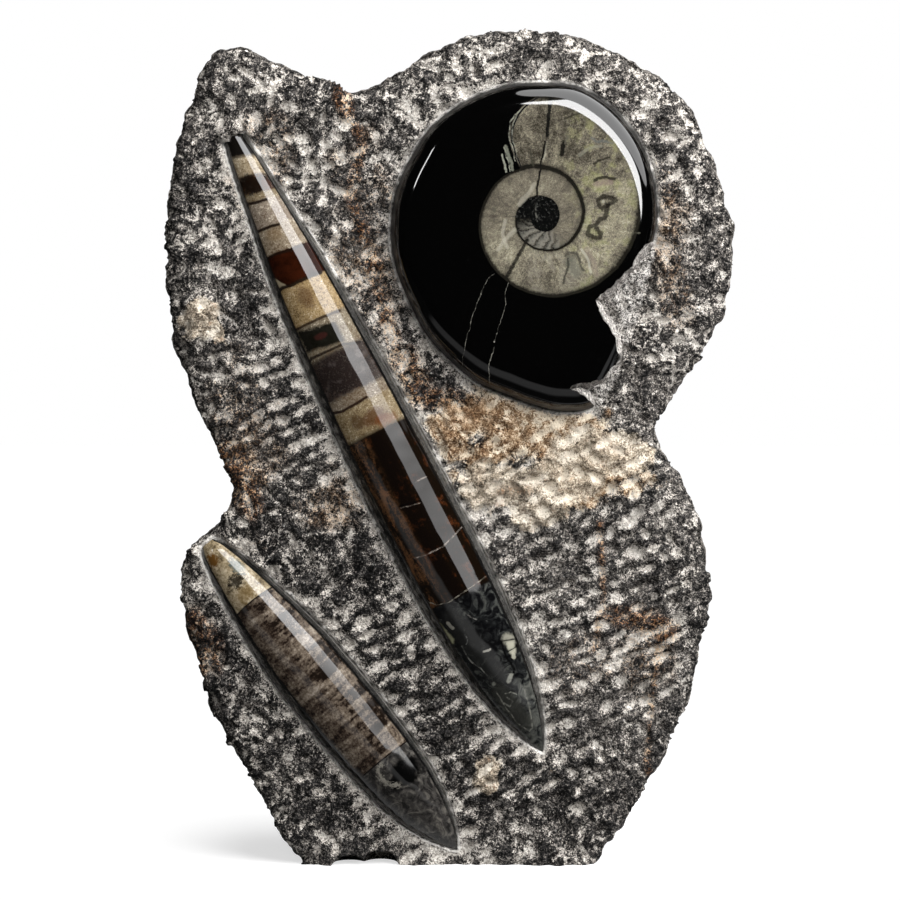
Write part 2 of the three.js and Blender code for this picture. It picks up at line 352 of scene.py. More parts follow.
def build_shell(name, shell, seed):
    """The whole polished shell, with attributes along (mm) and across (-1 to 1)."""
    start, along, across = shell_frame(shell)
    # The stations lie closer together towards the ends
    share = np.linspace(0, 1, SHELL_STATIONS)
    share = np.clip(share - 0.12 * np.sin(4 * np.pi * share) / np.pi, 0, 1)
    angle = np.linspace(0, 2 * np.pi, SHELL_SIDES, endpoint=False)
    s, angle = (grid.ravel() for grid in np.meshgrid(share * shell["length"] * 0.9995, angle, indexing="ij"))
    width = shell_width(shell, s)
    side = (width * np.cos(angle) - shell_bow(shell, s))[:, None] * across
    depth = shell["depth"] - width * np.sin(angle) * shell["flatness"]
    points = in_space(start + s[:, None] * along + side, depth)
    # The hand polish leaves a faint waviness
    radial = in_space(np.cos(angle)[:, None] * across, -np.sin(angle))
    wave = 0.10 * value_noise(points, 17, seed) + 0.035 * value_noise(points, 5, seed + 1)
    points += radial * wave[:, None]

    rings = range(0, len(points), SHELL_SIDES)
    faces = [face for a, b in zip(rings, rings[1:]) for face in ring_faces(SHELL_SIDES, b, a)]
    tip, last = len(points), rings[-1]
    for i in range(SHELL_SIDES):
        k = (i + 1) % SHELL_SIDES
        faces += [(i, k, tip), (last + k, last + i, tip + 1)]
    points = np.vstack([points, in_space(np.array([start, shell["to"]]), shell["depth"])])
    attributes = {"along": [*s, 0, shell["length"]], "across": [*np.cos(angle), 0, 0]}
    return make_object(name, points, faces, attributes, 50)


# Coiled shell

DISC_LOOP = closed_curve(DISC_OUTLINE, 1.2)


def disc_share(points):
    """How far out each [x, z] point lies: 0 at the disc's middle, 1 on its rim."""
    loop = DISC_LOOP - DISC_CENTRE
    loop_angle = np.arctan2(loop[:, 1], loop[:, 0])
    order = np.argsort(loop_angle)
    offset = points - DISC_CENTRE
    angle = np.arctan2(offset[:, 1], offset[:, 0])
    rim = np.interp(angle, loop_angle[order], np.hypot(*loop.T)[order], period=2 * np.pi)
    return np.hypot(*offset.T) / rim


def dome_height(share):
    """Nearly flat over the polished middle, then falling ever more steeply to the rim."""
    return DISC_HEIGHT * np.sqrt(np.clip(1 - np.clip(share, 0, 1) ** DOME_POWER, 0, 1))


def broken_loop():
    """The disc's outline with the jagged break, and which of its points are on the break."""
    kept = ~inside(DISC_LOOP, BREAK_AREA)
    first = next(i for i in range(len(kept)) if kept[i] and not kept[i - 1])
    rim = np.roll(DISC_LOOP, -first, 0)[np.roll(kept, -first)]
    rim = evenly_spaced(rim, LOOP_SPACING, closed=False)
    edge = np.array(BREAK_EDGE)
    edge = edge[disc_share(edge) < 0.995]
    path = evenly_spaced(np.vstack([rim[-1], edge, rim[0]]), 0.8, closed=False)[1:-1]
    place = np.arange(len(path))
    fade = smooth_step(np.minimum(place, place[::-1]), 0, 6)
    rough = 0.9 * fractal(in_space(path), 4.5, 3, 71) * fade
    path = path + outward_normals(path) * rough[:, None]
    on_break = np.arange(len(rim) + len(path)) >= len(rim)
    return np.vstack([rim, path]), on_break


DISC_PERIMETER = 440
DISC_RINGS = 57
WALL_RINGS = 16


def dome_points():
    """Points over the disc in rings, closer together towards its rim."""
    rings = []
    for k, level in enumerate(1 - np.linspace(0, 1, DISC_RINGS + 1)[1:] ** 1.7):
        count = max(1, int(DISC_PERIMETER * level / (0.9 + 0.9 * (1 - level ** 3)) / 1.15))
        ring = evenly_spaced(DISC_LOOP, DISC_PERIMETER / count) if count > 3 else DISC_LOOP[:1]
        rings.append(np.roll(DISC_CENTRE + (ring - DISC_CENTRE) * level, k, 0))
    return np.vstack(rings)


def build_disc():
    """The polished disc, with attributes fracture for its rough broken wall and rim for its dull edge."""
    loop, on_break = broken_loop()
    interior = dome_points()
    interior = interior[distance_to(interior, evenly_spaced(loop, 0.4)) < -0.45]
    flat, triangles = triangulate(loop, interior)
    height = dome_height(disc_share(flat))
    height[: len(loop)][~on_break] = 0
    points = in_space(flat, -height)
    wave = 0.10 * value_noise(points, 23, 5) + 0.03 * value_noise(points, 6, 6)
    points[:, 1] += wave * (height > 1)
    fracture = np.zeros(len(points))
    rim = 0.7 * smooth_step(disc_share(flat), 0.965, 0.99)

    # Wall: the smooth rim goes straight down, the break slopes out and is rough
    normals = eased(outward_normals(loop), 5)
    top = points[: len(loop), 1].copy()
    faces = [tuple(f) for f in triangles]
    previous = 0
    for k in range(1, WALL_RINGS + 1):
        share = k / WALL_RINGS
        y = top * (1 - share) + DISC_EMBED * share
        inward = -1.2 * smooth_step(np.full(len(loop), share), 0.3, 1) * ~on_break
        ring = in_space(loop, y)
        rough = 1.1 * fractal(ring, 5, 3, 83) + 1.6 * (scoops(ring, 7, 1.2, 29) - 0.6)
        slope = (1.2 + 0.16 * (y - top)) * smooth_step(y - top, 0, 4)
        move = np.where(on_break, (rough + slope) * smooth_step(y - top, 0, 1.5), inward)
        move *= smooth_step(y, DISC_EMBED, DISC_EMBED - 3)
        ring[:, [0, 2]] += normals * move[:, None]
        start = len(points)
        points = np.vstack([points, ring])
        fracture = np.concatenate([fracture, on_break.astype(float)])
        rim = np.concatenate([rim, np.full(len(loop), 1.0 - on_break)])
        faces += ring_faces(len(loop), start, previous)
        previous = start
    base = points[previous:, [0, 2]]
    base_triangles = triangulate(base, base[:0])[1]
    faces += [tuple(reversed([previous + int(i) for i in f])) for f in base_triangles]
    return make_object("goniatite_polished", points, faces, {"fracture": fracture, "rim": rim}, 38)


# Slab surface

FOSSIL_LOOPS = [shell_loop(LONG_SHELL), shell_loop(SHORT_SHELL), broken_loop()[0]]
OUTLINE_SPACING = 1.2
BACK_RISE = 4.5
# The length of the long shell's end that lies under stone, and how high the stone stands there
COVERED_LENGTH = 4.2
COVER_RISE = 3.4
SIDE_TAPER = 5
SIDE_RINGS = 26


def thickness_at(z):
    return FOOT_THICKNESS + (TOP_THICKNESS - FOOT_THICKNESS) * np.clip(z / SLAB_HEIGHT, 0, 1)


def bevel_fall(edge_gap):
    """How far the face falls back towards its rounded edge."""
    reach = np.clip(1 - edge_gap / BEVEL_WIDTH, 0, 1)
    return BEVEL_DEPTH * (1 - np.sqrt(1 - 0.96 * reach * reach))


def chisel_strikes(flat, pitch, angle, size, order, seed):
    """Pits left by a point chisel, one in each cell of a slanting grid: their depth and bruised whiteness.

    The pitch and size are along and across the rows, and order is 1 for neat rows and 0 for a random scatter.
    """
    warp = in_space(flat)
    x = flat[:, 0] + 4 * value_noise(warp, 55, seed) + 1.6 * value_noise(warp, 16, seed + 1)
    z = flat[:, 1] + 4 * value_noise(warp, 48, seed + 2) + 1.6 * value_noise(warp, 14, seed + 3)
    x += 0.9 * value_noise(warp, 4.6, seed + 4)
    z += 0.9 * value_noise(warp, 4.2, seed + 5)
    a = (x * math.cos(angle) + z * math.sin(angle)) / pitch[0] + LATTICE_SHIFT
    b = (-x * math.sin(angle) + z * math.cos(angle)) / pitch[1] + LATTICE_SHIFT
    row = np.floor(b).astype(np.int64)
    spread = 0.95 - 0.6 * order
    depth = np.full(len(flat), -0.35)
    white = np.zeros(len(flat))
    for dj in (-1, 0, 1):
        j = row + dj
        shifted = a + lattice_value(0, j, 0, seed + 5)
        column = np.floor(shifted).astype(np.int64)
        for di in (-1, 0, 1):
            i = column + di
            rand = [lattice_value(i, j, 0, seed + 10 + k) for k in range(7)]
            da = (shifted - i - 0.5 - spread * (rand[0] - 0.5)) * pitch[0]
            db = (b - j - 0.5 - spread * (rand[1] - 0.5)) * pitch[1]
            turn = (rand[2] - 0.5) * (0.5 + 2.6 * (1 - order))
            u = da * np.cos(turn) + db * np.sin(turn)
            v = db * np.cos(turn) - da * np.sin(turn)
            long = size[0] * (0.5 + 0.95 * rand[3])
            wide = size[1] * (0.6 + 0.75 * rand[4])
            q = np.sqrt((u / long) ** 2 + (v / wide) ** 2)
            depth = np.maximum(depth, (0.5 + 0.7 * rand[5]) * (1 - q * q))
            strength = 0.25 + 0.75 * smooth_step(rand[6], 0.05, 0.6)
            white = np.maximum(white, strength * (1.25 - q))
    return depth, np.clip(white, 0, 1)


# Where the marks stand in clear rows: centre and half size in millimetres
ROW_AREAS = [((60, 130), (95, 95)), ((-65, 212), (42, 32)), ((-10, 60), (60, 60))]

# Stains: kind, path or centre, and half width or half size
STAINS = [
    ("ochre", [(43, 205)], (44, 24)),
    ("ochre", [(10, 214)], (26, 16)),
    ("ochre", [(66, 188)], (28, 15)),
    ("cream", [(24, 181), (80, 197)], (17, 15)),
    ("cream", [(40, 172)], (16, 11)),
    ("cream", [(-118, 260)], (11, 13)),
    ("cream", [(17, 43)], (8, 11)),
    ("rust", [(-22, 242), (-12, 226), (2, 222), (14, 216)], (8, 8)),
    ("rust", [(26, 180), (38, 180)], (4, 4)),
    ("rust", [(-52, 371), (-41, 344), (-47, 320), (-36, 290), (-31, 266), (-23, 240)], (3.6, 3.6)),
    ("rust", [(-122, 118), (-118, 100)], (9, 11)),
    ("rust", [(-106, 200), (-94, 172)], (7, 8)),
    ("rust", [(78, 120), (94, 117), (104, 112)], (6, 6)),
    ("rust", [(101, 107), (97, 79), (95, 50), (99, 31), (92, 7)], (1.6, 1.6)),
    ("rust", [(72, 165), (74, 130), (70, 104)], (1.8, 1.8)),
    ("brown", [(-57, 174)], (26, 15)),
    ("brown", [(-100, 154)], (16, 9)),
    ("brown", [(92, 95)], (16, 26)),
    ("brown", [(-40, 300)], (20, 52)),
    ("brown", [(-98, 215)], (20, 26)),
    ("brown", [(104, 330), (108, 270)], (9, 12)),
    ("brown", [(-100, 190)], (18, 22)),
    ("brown", [(-90, 335)], (14, 30)),
    ("brown", [(64, 96)], (22, 12)),
]


# The pale patch ends below in a nearly straight edge: a point on it and its rise
PATCH_EDGE = ((53, 161), 0.42)


def stain(flat, kind):
    """How strongly a kind of stain colours each point, from 0 to 1."""
    total = np.zeros(len(flat))
    rough = in_space(flat)
    ragged = 0.42 * fractal(rough, 13, 3, 201)
    for name, path, (rx, rz) in STAINS:
        if name != kind:
            continue
        path = np.array(path, float)
        scaled = flat / (rx, rz)
        line = path / (rx, rz)
        nearest = np.full(len(flat), 1e9)
        pairs = zip(line[:-1], line[1:]) if len(line) > 1 else [(line[0], line[0])]
        for p, q in pairs:
            run = q - p
            share = np.clip(((scaled - p) @ run) / max(run @ run, 1e-9), 0, 1)
            nearest = np.minimum(nearest, np.hypot(*(scaled - p - share[:, None] * run).T))
        total = np.maximum(total, smooth_step(1.25 - nearest + ragged, 0, 0.8))
    if kind in ("ochre", "cream"):
        (x, z), rise = PATCH_EDGE
        above = flat[:, 1] - z - (flat[:, 0] - x) * rise + 1.5 * value_noise(rough, 6, 207)
        total = total * np.where(flat[:, 0] > x - 20, smooth_step(above, -1.2, 1.2), 1)
    return total


def face_relief(flat, edge_gap):
    """The hewn face: how far it stands out from its mean level, and its bruises."""
    space = in_space(flat)
    rows = np.zeros(len(flat))
    for (cx, cz), (rx, rz) in ROW_AREAS:
        rows = np.maximum(rows, 1.3 - np.hypot((flat[:, 0] - cx) / rx, (flat[:, 1] - cz) / rz))
    rows = smooth_step(rows + 0.25 * fractal(space, 30, 2, 311), 0.05, 0.5)
    edge = smooth_step(edge_gap + 3 * value_noise(space, 15, 9), 4, 14)
    row_depth, row_white = chisel_strikes(flat, (9.6, 7.4), math.radians(27), (5.2, 2.9), 1, 401)
    dot_depth, dot_white = chisel_strikes(flat, (8.0, 7.4), math.radians(62), (4.6, 3.0), 0, 433)
    small_depth, small_white = chisel_strikes(flat, (5.0, 4.6), math.radians(15), (2.4, 1.8), 0, 457)
    depth = rows * 2.2 * row_depth + (1 - rows) * 2.2 * dot_depth
    white = rows * np.minimum(1.25 * row_white, 1) + (1 - rows) * dot_white
    depth = edge * depth + (1 - edge) * 1.4 * small_depth
    white = edge * white + (1 - edge) * 0.8 * small_white

    # Thin glancing strikes all over, and a web of bruised ridges where the marks lie without order
    glancing = chisel_strikes(flat, (7.5, 7.0), math.radians(100), (4.2, 1.1), 0, 479)[1]
    scattered_share = (1 - 0.6 * rows) * smooth_step(value_noise(space, 19, 487), -0.3, 0.4)
    white = np.maximum(white, 0.75 * glancing * scattered_share)
    ridge = np.abs(value_noise(space + 1.5 * value_noise(space, 9, 491)[:, None], 6.5, 499))
    web = (1 - smooth_step(ridge, 0.03, 0.16)) * (1 - rows)
    web *= smooth_step(value_noise(space, 24, 503), -0.35, 0.35)
    white = np.maximum(white, 0.8 * web)
    white *= 0.8 + 0.3 * value_noise(space, 28, 509)
    facets = 2.4 * (scoops(space, 12, 0.9, 57) - 0.5) + 1.9 * (scoops(space, 6.2, 0.9, 91) - 0.5)
    swell = 1.3 * value_noise(space, 62, 1) + 0.75 * value_noise(space, 24, 2)
    fine = 1.1 * fractal(space, 4.2, 3, 3)
    return 1.0 - swell - facets - fine - depth, np.clip(white, 0, 1)


def broken_relief(points):
    """The sides and back, split and knocked off: how far they stand out from their mean, and the bruises."""
    coarse = 3.0 * (scoops(points, 19, 1.1, 23) - 0.5) + 1.5 * (scoops(points, 9, 1.1, 37) - 0.5)
    fine = 0.8 * fractal(points, 6, 4, 19) + 0.5 * (scoops(points, 4.8, 1.1, 39) - 0.5)
    white = np.clip(1.5 * (scoops(points, 6.5, 0.5, 333) - 0.3), 0, 0.9)
    return -coarse - fine, white


def pocket_depth(flat):
    """How deep the stone lies under the fossils, following their lower sides at the gap."""
    depth = np.full(len(flat), -1e3)
    for shell in (LONG_SHELL, SHORT_SHELL):
        s, v = shell_coordinates(shell, flat)
        width = shell_width(shell, np.clip(s, 0, shell["length"])) + POCKET_GAP
        under = shell["depth"] + shell["flatness"] * np.sqrt(np.clip(width ** 2 - v ** 2, 0, None)) + 0.35
        depth = np.where(inside(flat, shell_loop(shell)), under, depth)
    under = DISC_EMBED * smooth_step(1 - disc_share(flat), 0, 0.012) + 0.7
    return np.where(inside(flat, FOSSIL_LOOPS[2]), under, depth)


def over_narrow_end(flat):
    """Where rough stone still lies over the long shell's narrow end."""
    s, v = shell_coordinates(LONG_SHELL, flat)
    ragged = COVERED_LENGTH + 1.1 * value_noise(in_space(flat), 3.2, 607)
    return (s > -1.5) & (s < ragged) & (np.abs(v) < shell_width(LONG_SHELL, s) + 0.8)


def vertex_normals(points, groups):
    """Unit vertex normals of a mesh given as arrays of triangles and of quads."""
    total = np.zeros_like(points)
    for faces in groups:
        a, b, c, d = (points[faces[:, k]] for k in (0, 1, 2, -1))
        normal = np.cross(c - a, d - b) if faces.shape[1] == 4 else np.cross(b - a, c - a)
        for k in range(faces.shape[1]):
            np.add.at(total, faces[:, k], normal)
    return total / np.maximum(np.linalg.norm(total, axis=1), 1e-9)[:, None]


def face_points(rim):
    """Scattered points for the face: close where it shows, further apart under the fossils."""
    low, high = rim.min(0), rim.max(0)
    kept = []
    for spacing, seed, rim_room in ((1.16, 11, 0.7), (3.0, 12, 2.0)):
        points = scattered(low, high, spacing, seed)
        points = points[distance_to(points, rim) < -rim_room]
        gap = np.min([distance_to(points, loop) for loop in FOSSIL_LOOPS], 0)
        kept.append(points[gap > -2.2] if spacing < 2 else points[gap < -3.0])
    return np.vstack(kept)


def side_rings(outline, ragged, normals, near_normals):
    """Rings from the face's ragged rim over the edge and down the sides to the back."""
    rings = [in_space(outline - near_normals * inset, bevel_fall(np.full(len(outline), inset)))
             for inset in (0.4, 0.0)]
    first_y = rings[-1][:, 1] + 1.2
    last_y = thickness_at(outline[:, 1]) - BACK_RISE
    for share in np.linspace(0, 1, SIDE_RINGS):
        inset = SIDE_TAPER * share ** 2 + ragged[:, None] * min(1, 2.5 * share)
        rings.append(in_space(outline - normals * inset, first_y + (last_y - first_y) * share))
    return rings


def build_slab():
    smooth = closed_curve(SLAB_OUTLINE, OUTLINE_SPACING)
    near_normals = eased(outward_normals(smooth), 3)
    normals = eased(outward_normals(smooth), 9)
    ragged = 1.0 * fractal(in_space(smooth), 7.5, 3, 613) - 0.3
    outline = smooth + near_normals * ragged[:, None]
    count = len(outline)

    rim = outline - near_normals * 1.1
    flat, triangles = triangulate(rim, face_points(rim))
    edge_gap = -distance_to(flat, evenly_spaced(outline, 0.8))
    fossil_gap = np.min([distance_to(flat, loop) for loop in FOSSIL_LOOPS], 0)
    trench = 0.5 * np.exp(-np.clip(fossil_gap, 0, None) ** 2 / 9)
    pocket = np.maximum(pocket_depth(flat), 1.5)
    base = np.where(fossil_gap < -0.2, pocket, bevel_fall(edge_gap) + trench)
    covered = over_narrow_end(flat)
    base = np.where(covered, -COVER_RISE, base)
    fossil_gap = np.where(covered, 3.0, fossil_gap)
    points = [in_space(flat, base)]
    quads = []
    previous, total = 0, len(flat)
    for ring in side_rings(outline, ragged, normals, near_normals):
        points.append(ring)
        quads += ring_faces(count, total, previous)
        previous, total = total, total + count
    back_rim = points[-1][:, [0, 2]]
    interior = scattered(back_rim.min(0), back_rim.max(0), 2.8, 13)
    interior = interior[distance_to(interior, back_rim) < -1.6]
    back_flat, back_triangles = triangulate(back_rim, interior)
    back_edge = -distance_to(back_flat, back_rim)
    rise = BACK_RISE * np.sqrt(1 - np.clip(1 - back_edge / 7, 0, 1) ** 2)
    points.append(in_space(back_flat, thickness_at(back_flat[:, 1]) - BACK_RISE + rise)[count:])
    index = np.arange(len(back_flat))
    index = np.where(index < count, previous + index, total + index - count)
    back_triangles = index[back_triangles][:, ::-1]
    points = np.vstack(points)

    # Everything is roughened along its normals: hewn in front, broken on the sides and back
    groups = [triangles, np.array(quads), back_triangles]
    outward = vertex_normals(points, groups)
    all_flat = points[:, [0, 2]]
    n_face = len(flat)
    front = smooth_step(-outward[:, 1], 0.25, 0.7)
    edge = np.concatenate([edge_gap, np.zeros(len(points) - n_face)])
    gap = np.concatenate([fossil_gap, np.full(len(points) - n_face, 50.0)])
    hewn, hewn_white = face_relief(all_flat, edge)
    broken, broken_white = broken_relief(points)
    beside = smooth_step(gap, 0.2, 2.4)
    relief = (front * hewn + (1 - front) * broken) * beside
    white = front * hewn_white + (1 - front) * broken_white
    points = points + outward * relief[:, None]
    points[:, 1] = np.where(front > 0.3, chipped(points), points[:, 1])
    attributes = {
        "bruise": white,
        "relief": np.clip(relief, -4, 4),
        "fossil_gap": np.clip(gap, -5, 50),
        "recess": recess_share(points),
    }
    for kind in ("ochre", "cream", "rust", "brown"):
        attributes[kind] = stain(points[:, [0, 2]], kind) * (points[:, 1] < 34)
    faces = [tuple(f) for group in groups for f in group]
    return cut_foot(make_object("stone_slab_hewn", points, faces, attributes))


def chipped(points):
    """The y of each point with the two chips knocked out of the foot's front edge."""
    y = points[:, 1]
    for x, half_width, height, depth in FOOT_CHIPS:
        reach = ((points[:, 0] - x) / half_width) ** 2 + (points[:, 2] / height) ** 2
        chip = BEVEL_DEPTH / 2 + depth * np.sqrt(np.clip(1 - reach, 0, 1))
        y = np.where(reach < 1, np.maximum(y, chip), y)
    return y


def recess_share(points):
    """1 on the scraped stone inside the disc's old rim where its edge broke away."""
    flat = points[:, [0, 2]]
    in_break = inside(flat, BREAK_AREA)
    return (in_break & (disc_share(flat) < 1.03) & (points[:, 1] < 15)).astype(float)


def cut_foot(obj):
    """Saw the slab flat at the foot and close the cut."""
    work = bmesh.new()
    work.from_mesh(obj.data)
    everything = work.verts[:] + work.edges[:] + work.faces[:]
    down = (0, 0, -1)
    cut = bmesh.ops.bisect_plane(work, geom=everything, plane_co=(0, 0, 0), plane_no=down, clear_outer=True)
    edges = [e for e in cut["geom_cut"] if isinstance(e, bmesh.types.BMEdge)]
    bmesh.ops.triangle_fill(work, use_beauty=True, use_dissolve=False, edges=edges, normal=down)
    work.to_mesh(obj.data)
    work.free()
    return obj


# Shader building

def tone(hex_colour):
    """A linear colour from an sRGB hex one."""
    channels = [int(hex_colour[i:i + 2], 16) / 255 for i in (0, 2, 4)]
    return tuple(c / 12.92 if c <= 0.04045 else ((c + 0.055) / 1.055) ** 2.4 for c in channels) + (1.0,)


def grey(value):
    return (value, value, value, 1.0)


class Wire:
    """A node's output with arithmetic: each operation adds a Math node."""

    def __init__(self, owner, socket):
        self.owner = owner
        self.socket = socket

    def math(self, operation, *others):
        return self.owner.math(operation, self, *others)

    def __add__(self, other):
        return self.math("ADD", other)

    def __sub__(self, other):
        return self.math("SUBTRACT", other)

    def __mul__(self, other):
        return self.math("MULTIPLY", other)

    def __truediv__(self, other):
        return self.math("DIVIDE", other)

    def __rsub__(self, other):
        return self.owner.math("SUBTRACT", other, self)

    __radd__ = __add__
    __rmul__ = __mul__


# Places of the colour sockets of a Mix node, whose sockets for other kinds have the same names
MIX_BELOW, MIX_ABOVE, MIX_RESULT = 6, 7, 2


class Nodes:
    """A node tree, with a short call for each kind of node."""

    def __init__(self, tree):
        self.nodes = tree.nodes
        self.links = tree.links

    def set(self, socket, value):
        """Give an input a number, a colour, an sRGB hex colour or another node's output."""
        if isinstance(value, Wire):
            self.links.new(value.socket, socket)
        else:
            socket.default_value = tone(value) if isinstance(value, str) else value

    def add(self, kind, output=0, inputs=None, **settings):
        node = self.nodes.new(kind)
        for key, value in settings.items():
            setattr(node, key, value)
        for key, value in (inputs or {}).items():
            self.set(node.inputs[key], value)
        return Wire(self, node.outputs[output])

    def math(self, operation, *values):
        return self.add("ShaderNodeMath", 0, dict(enumerate(values)), operation=operation)

    def vector(self, operation, *values, output=0):
        places = (0, 3) if operation == "SCALE" else range(3)
        return self.add("ShaderNodeVectorMath", output, dict(zip(places, values)), operation=operation)

    def axes(self, vector):
        return [self.add("ShaderNodeSeparateXYZ", k, {0: vector}) for k in range(3)]

    def step(self, value, low, high):
        """A smooth rise from 0 to 1 between two values."""
        inputs = {"Value": value, "From Min": low, "From Max": high}
        return self.add("ShaderNodeMapRange", "Result", inputs, interpolation_type="SMOOTHSTEP")

    def mix(self, below, above, share):
        inputs = {0: share, MIX_BELOW: below, MIX_ABOVE: above}
        return self.add("ShaderNodeMix", MIX_RESULT, inputs, data_type="RGBA")

    def ramp(self, value, stops):
        node = self.nodes.new("ShaderNodeValToRGB")
        elements = node.color_ramp.elements
        while len(elements) < len(stops):
            elements.new(0.5)
        for element, (position, colour) in zip(elements, stops):
            element.position = position
            element.color = tone(colour) if isinstance(colour, str) else colour
        self.set(node.inputs["Fac"], value)
        return Wire(self, node.outputs["Color"])


class Shader(Nodes):
    """One procedural material with a Principled shader."""

    def __init__(self, name):
        self.material = bpy.data.materials.new(name)
        self.material.use_nodes = True
        super().__init__(self.material.node_tree)
        self.principled = self.nodes["Principled BSDF"]

    def attribute(self, name):
        return self.add("ShaderNodeAttribute", "Fac", attribute_name=name)

    def place(self):
        """The point in the object's own frame, in millimetres."""
        return self.vector("SCALE", self.add("ShaderNodeTexCoord", "Object"), 1 / MM)

    def noise(self, vector, pitch, detail=3.0, roughness=0.55, distortion=0.0):
        """Noise from -0.5 to 0.5 with bumps about a pitch in millimetres apart."""
        inputs = {"Vector": vector, "Scale": 1 / pitch, "Detail": detail, "Roughness": roughness,
                  "Distortion": distortion}
        return self.add("ShaderNodeTexNoise", "Fac", inputs) - 0.5

    def drawn_noise(self, u, v, detail=3.0, roughness=0.55, distortion=0.0):
        """Noise over two coordinates of its own, for streaks along one of them."""
        combined = self.add("ShaderNodeCombineXYZ", 0, {"X": u, "Y": v})
        return self.noise(combined, 1.0, detail, roughness, distortion)

    def cells(self, vector, pitch, output="Distance"):
        return self.add("ShaderNodeTexVoronoi", output, {"Vector": vector, "Scale": 1 / pitch})

    def wandering(self, place, pitch, reach):
        """A place as seen from the front, shifted by noise so that lines drawn in it aren't straight."""
        noise = self.add("ShaderNodeTexNoise", "Color", {"Vector": place, "Scale": 1 / pitch, "Detail": 2.0})
        shift = self.vector("SCALE", self.vector("SUBTRACT", noise, (0.5, 0.5, 0.5)), 2 * reach)
        return self.vector("MULTIPLY", self.vector("ADD", place, shift), (1, 0, 1))

    def from_line(self, flat, points):
        """The distance from a line through [x, z] points, for a place with y = 0."""
        nearest = None
        if len(points) == 1:
            points = [points[0], (points[0][0] + 0.01, points[0][1])]
        for start, end in zip(points, points[1:]):
            run = Vector((end[0] - start[0], 0, end[1] - start[1]))
            offset = self.vector("SUBTRACT", flat, (start[0], 0, start[1]))
            share = self.vector("DOT_PRODUCT", offset, tuple(run / run.length_squared), output="Value")
            share = self.add("ShaderNodeClamp", 0, {"Value": share})
            closest = self.vector("SCALE", tuple(run), share)
            distance = self.vector("DISTANCE", offset, closest, output="Value")
            nearest = distance if nearest is None else nearest.math("MINIMUM", distance)
        return nearest

    def bump(self, height, distance):
        inputs = {"Height": height, "Distance": distance * MM, "Strength": 1.0}
        return self.add("ShaderNodeBump", "Normal", inputs)

    def finish(self, colour, roughness, normal=None, **constants):
        self.set(self.principled.inputs["Base Color"], colour)
        self.set(self.principled.inputs["Roughness"], roughness)
        if normal:
            self.set(self.principled.inputs["Normal"], normal)
        for key, value in constants.items():
            self.principled.inputs[key.replace("_", " ")].default_value = value
        return self.material


# Materials

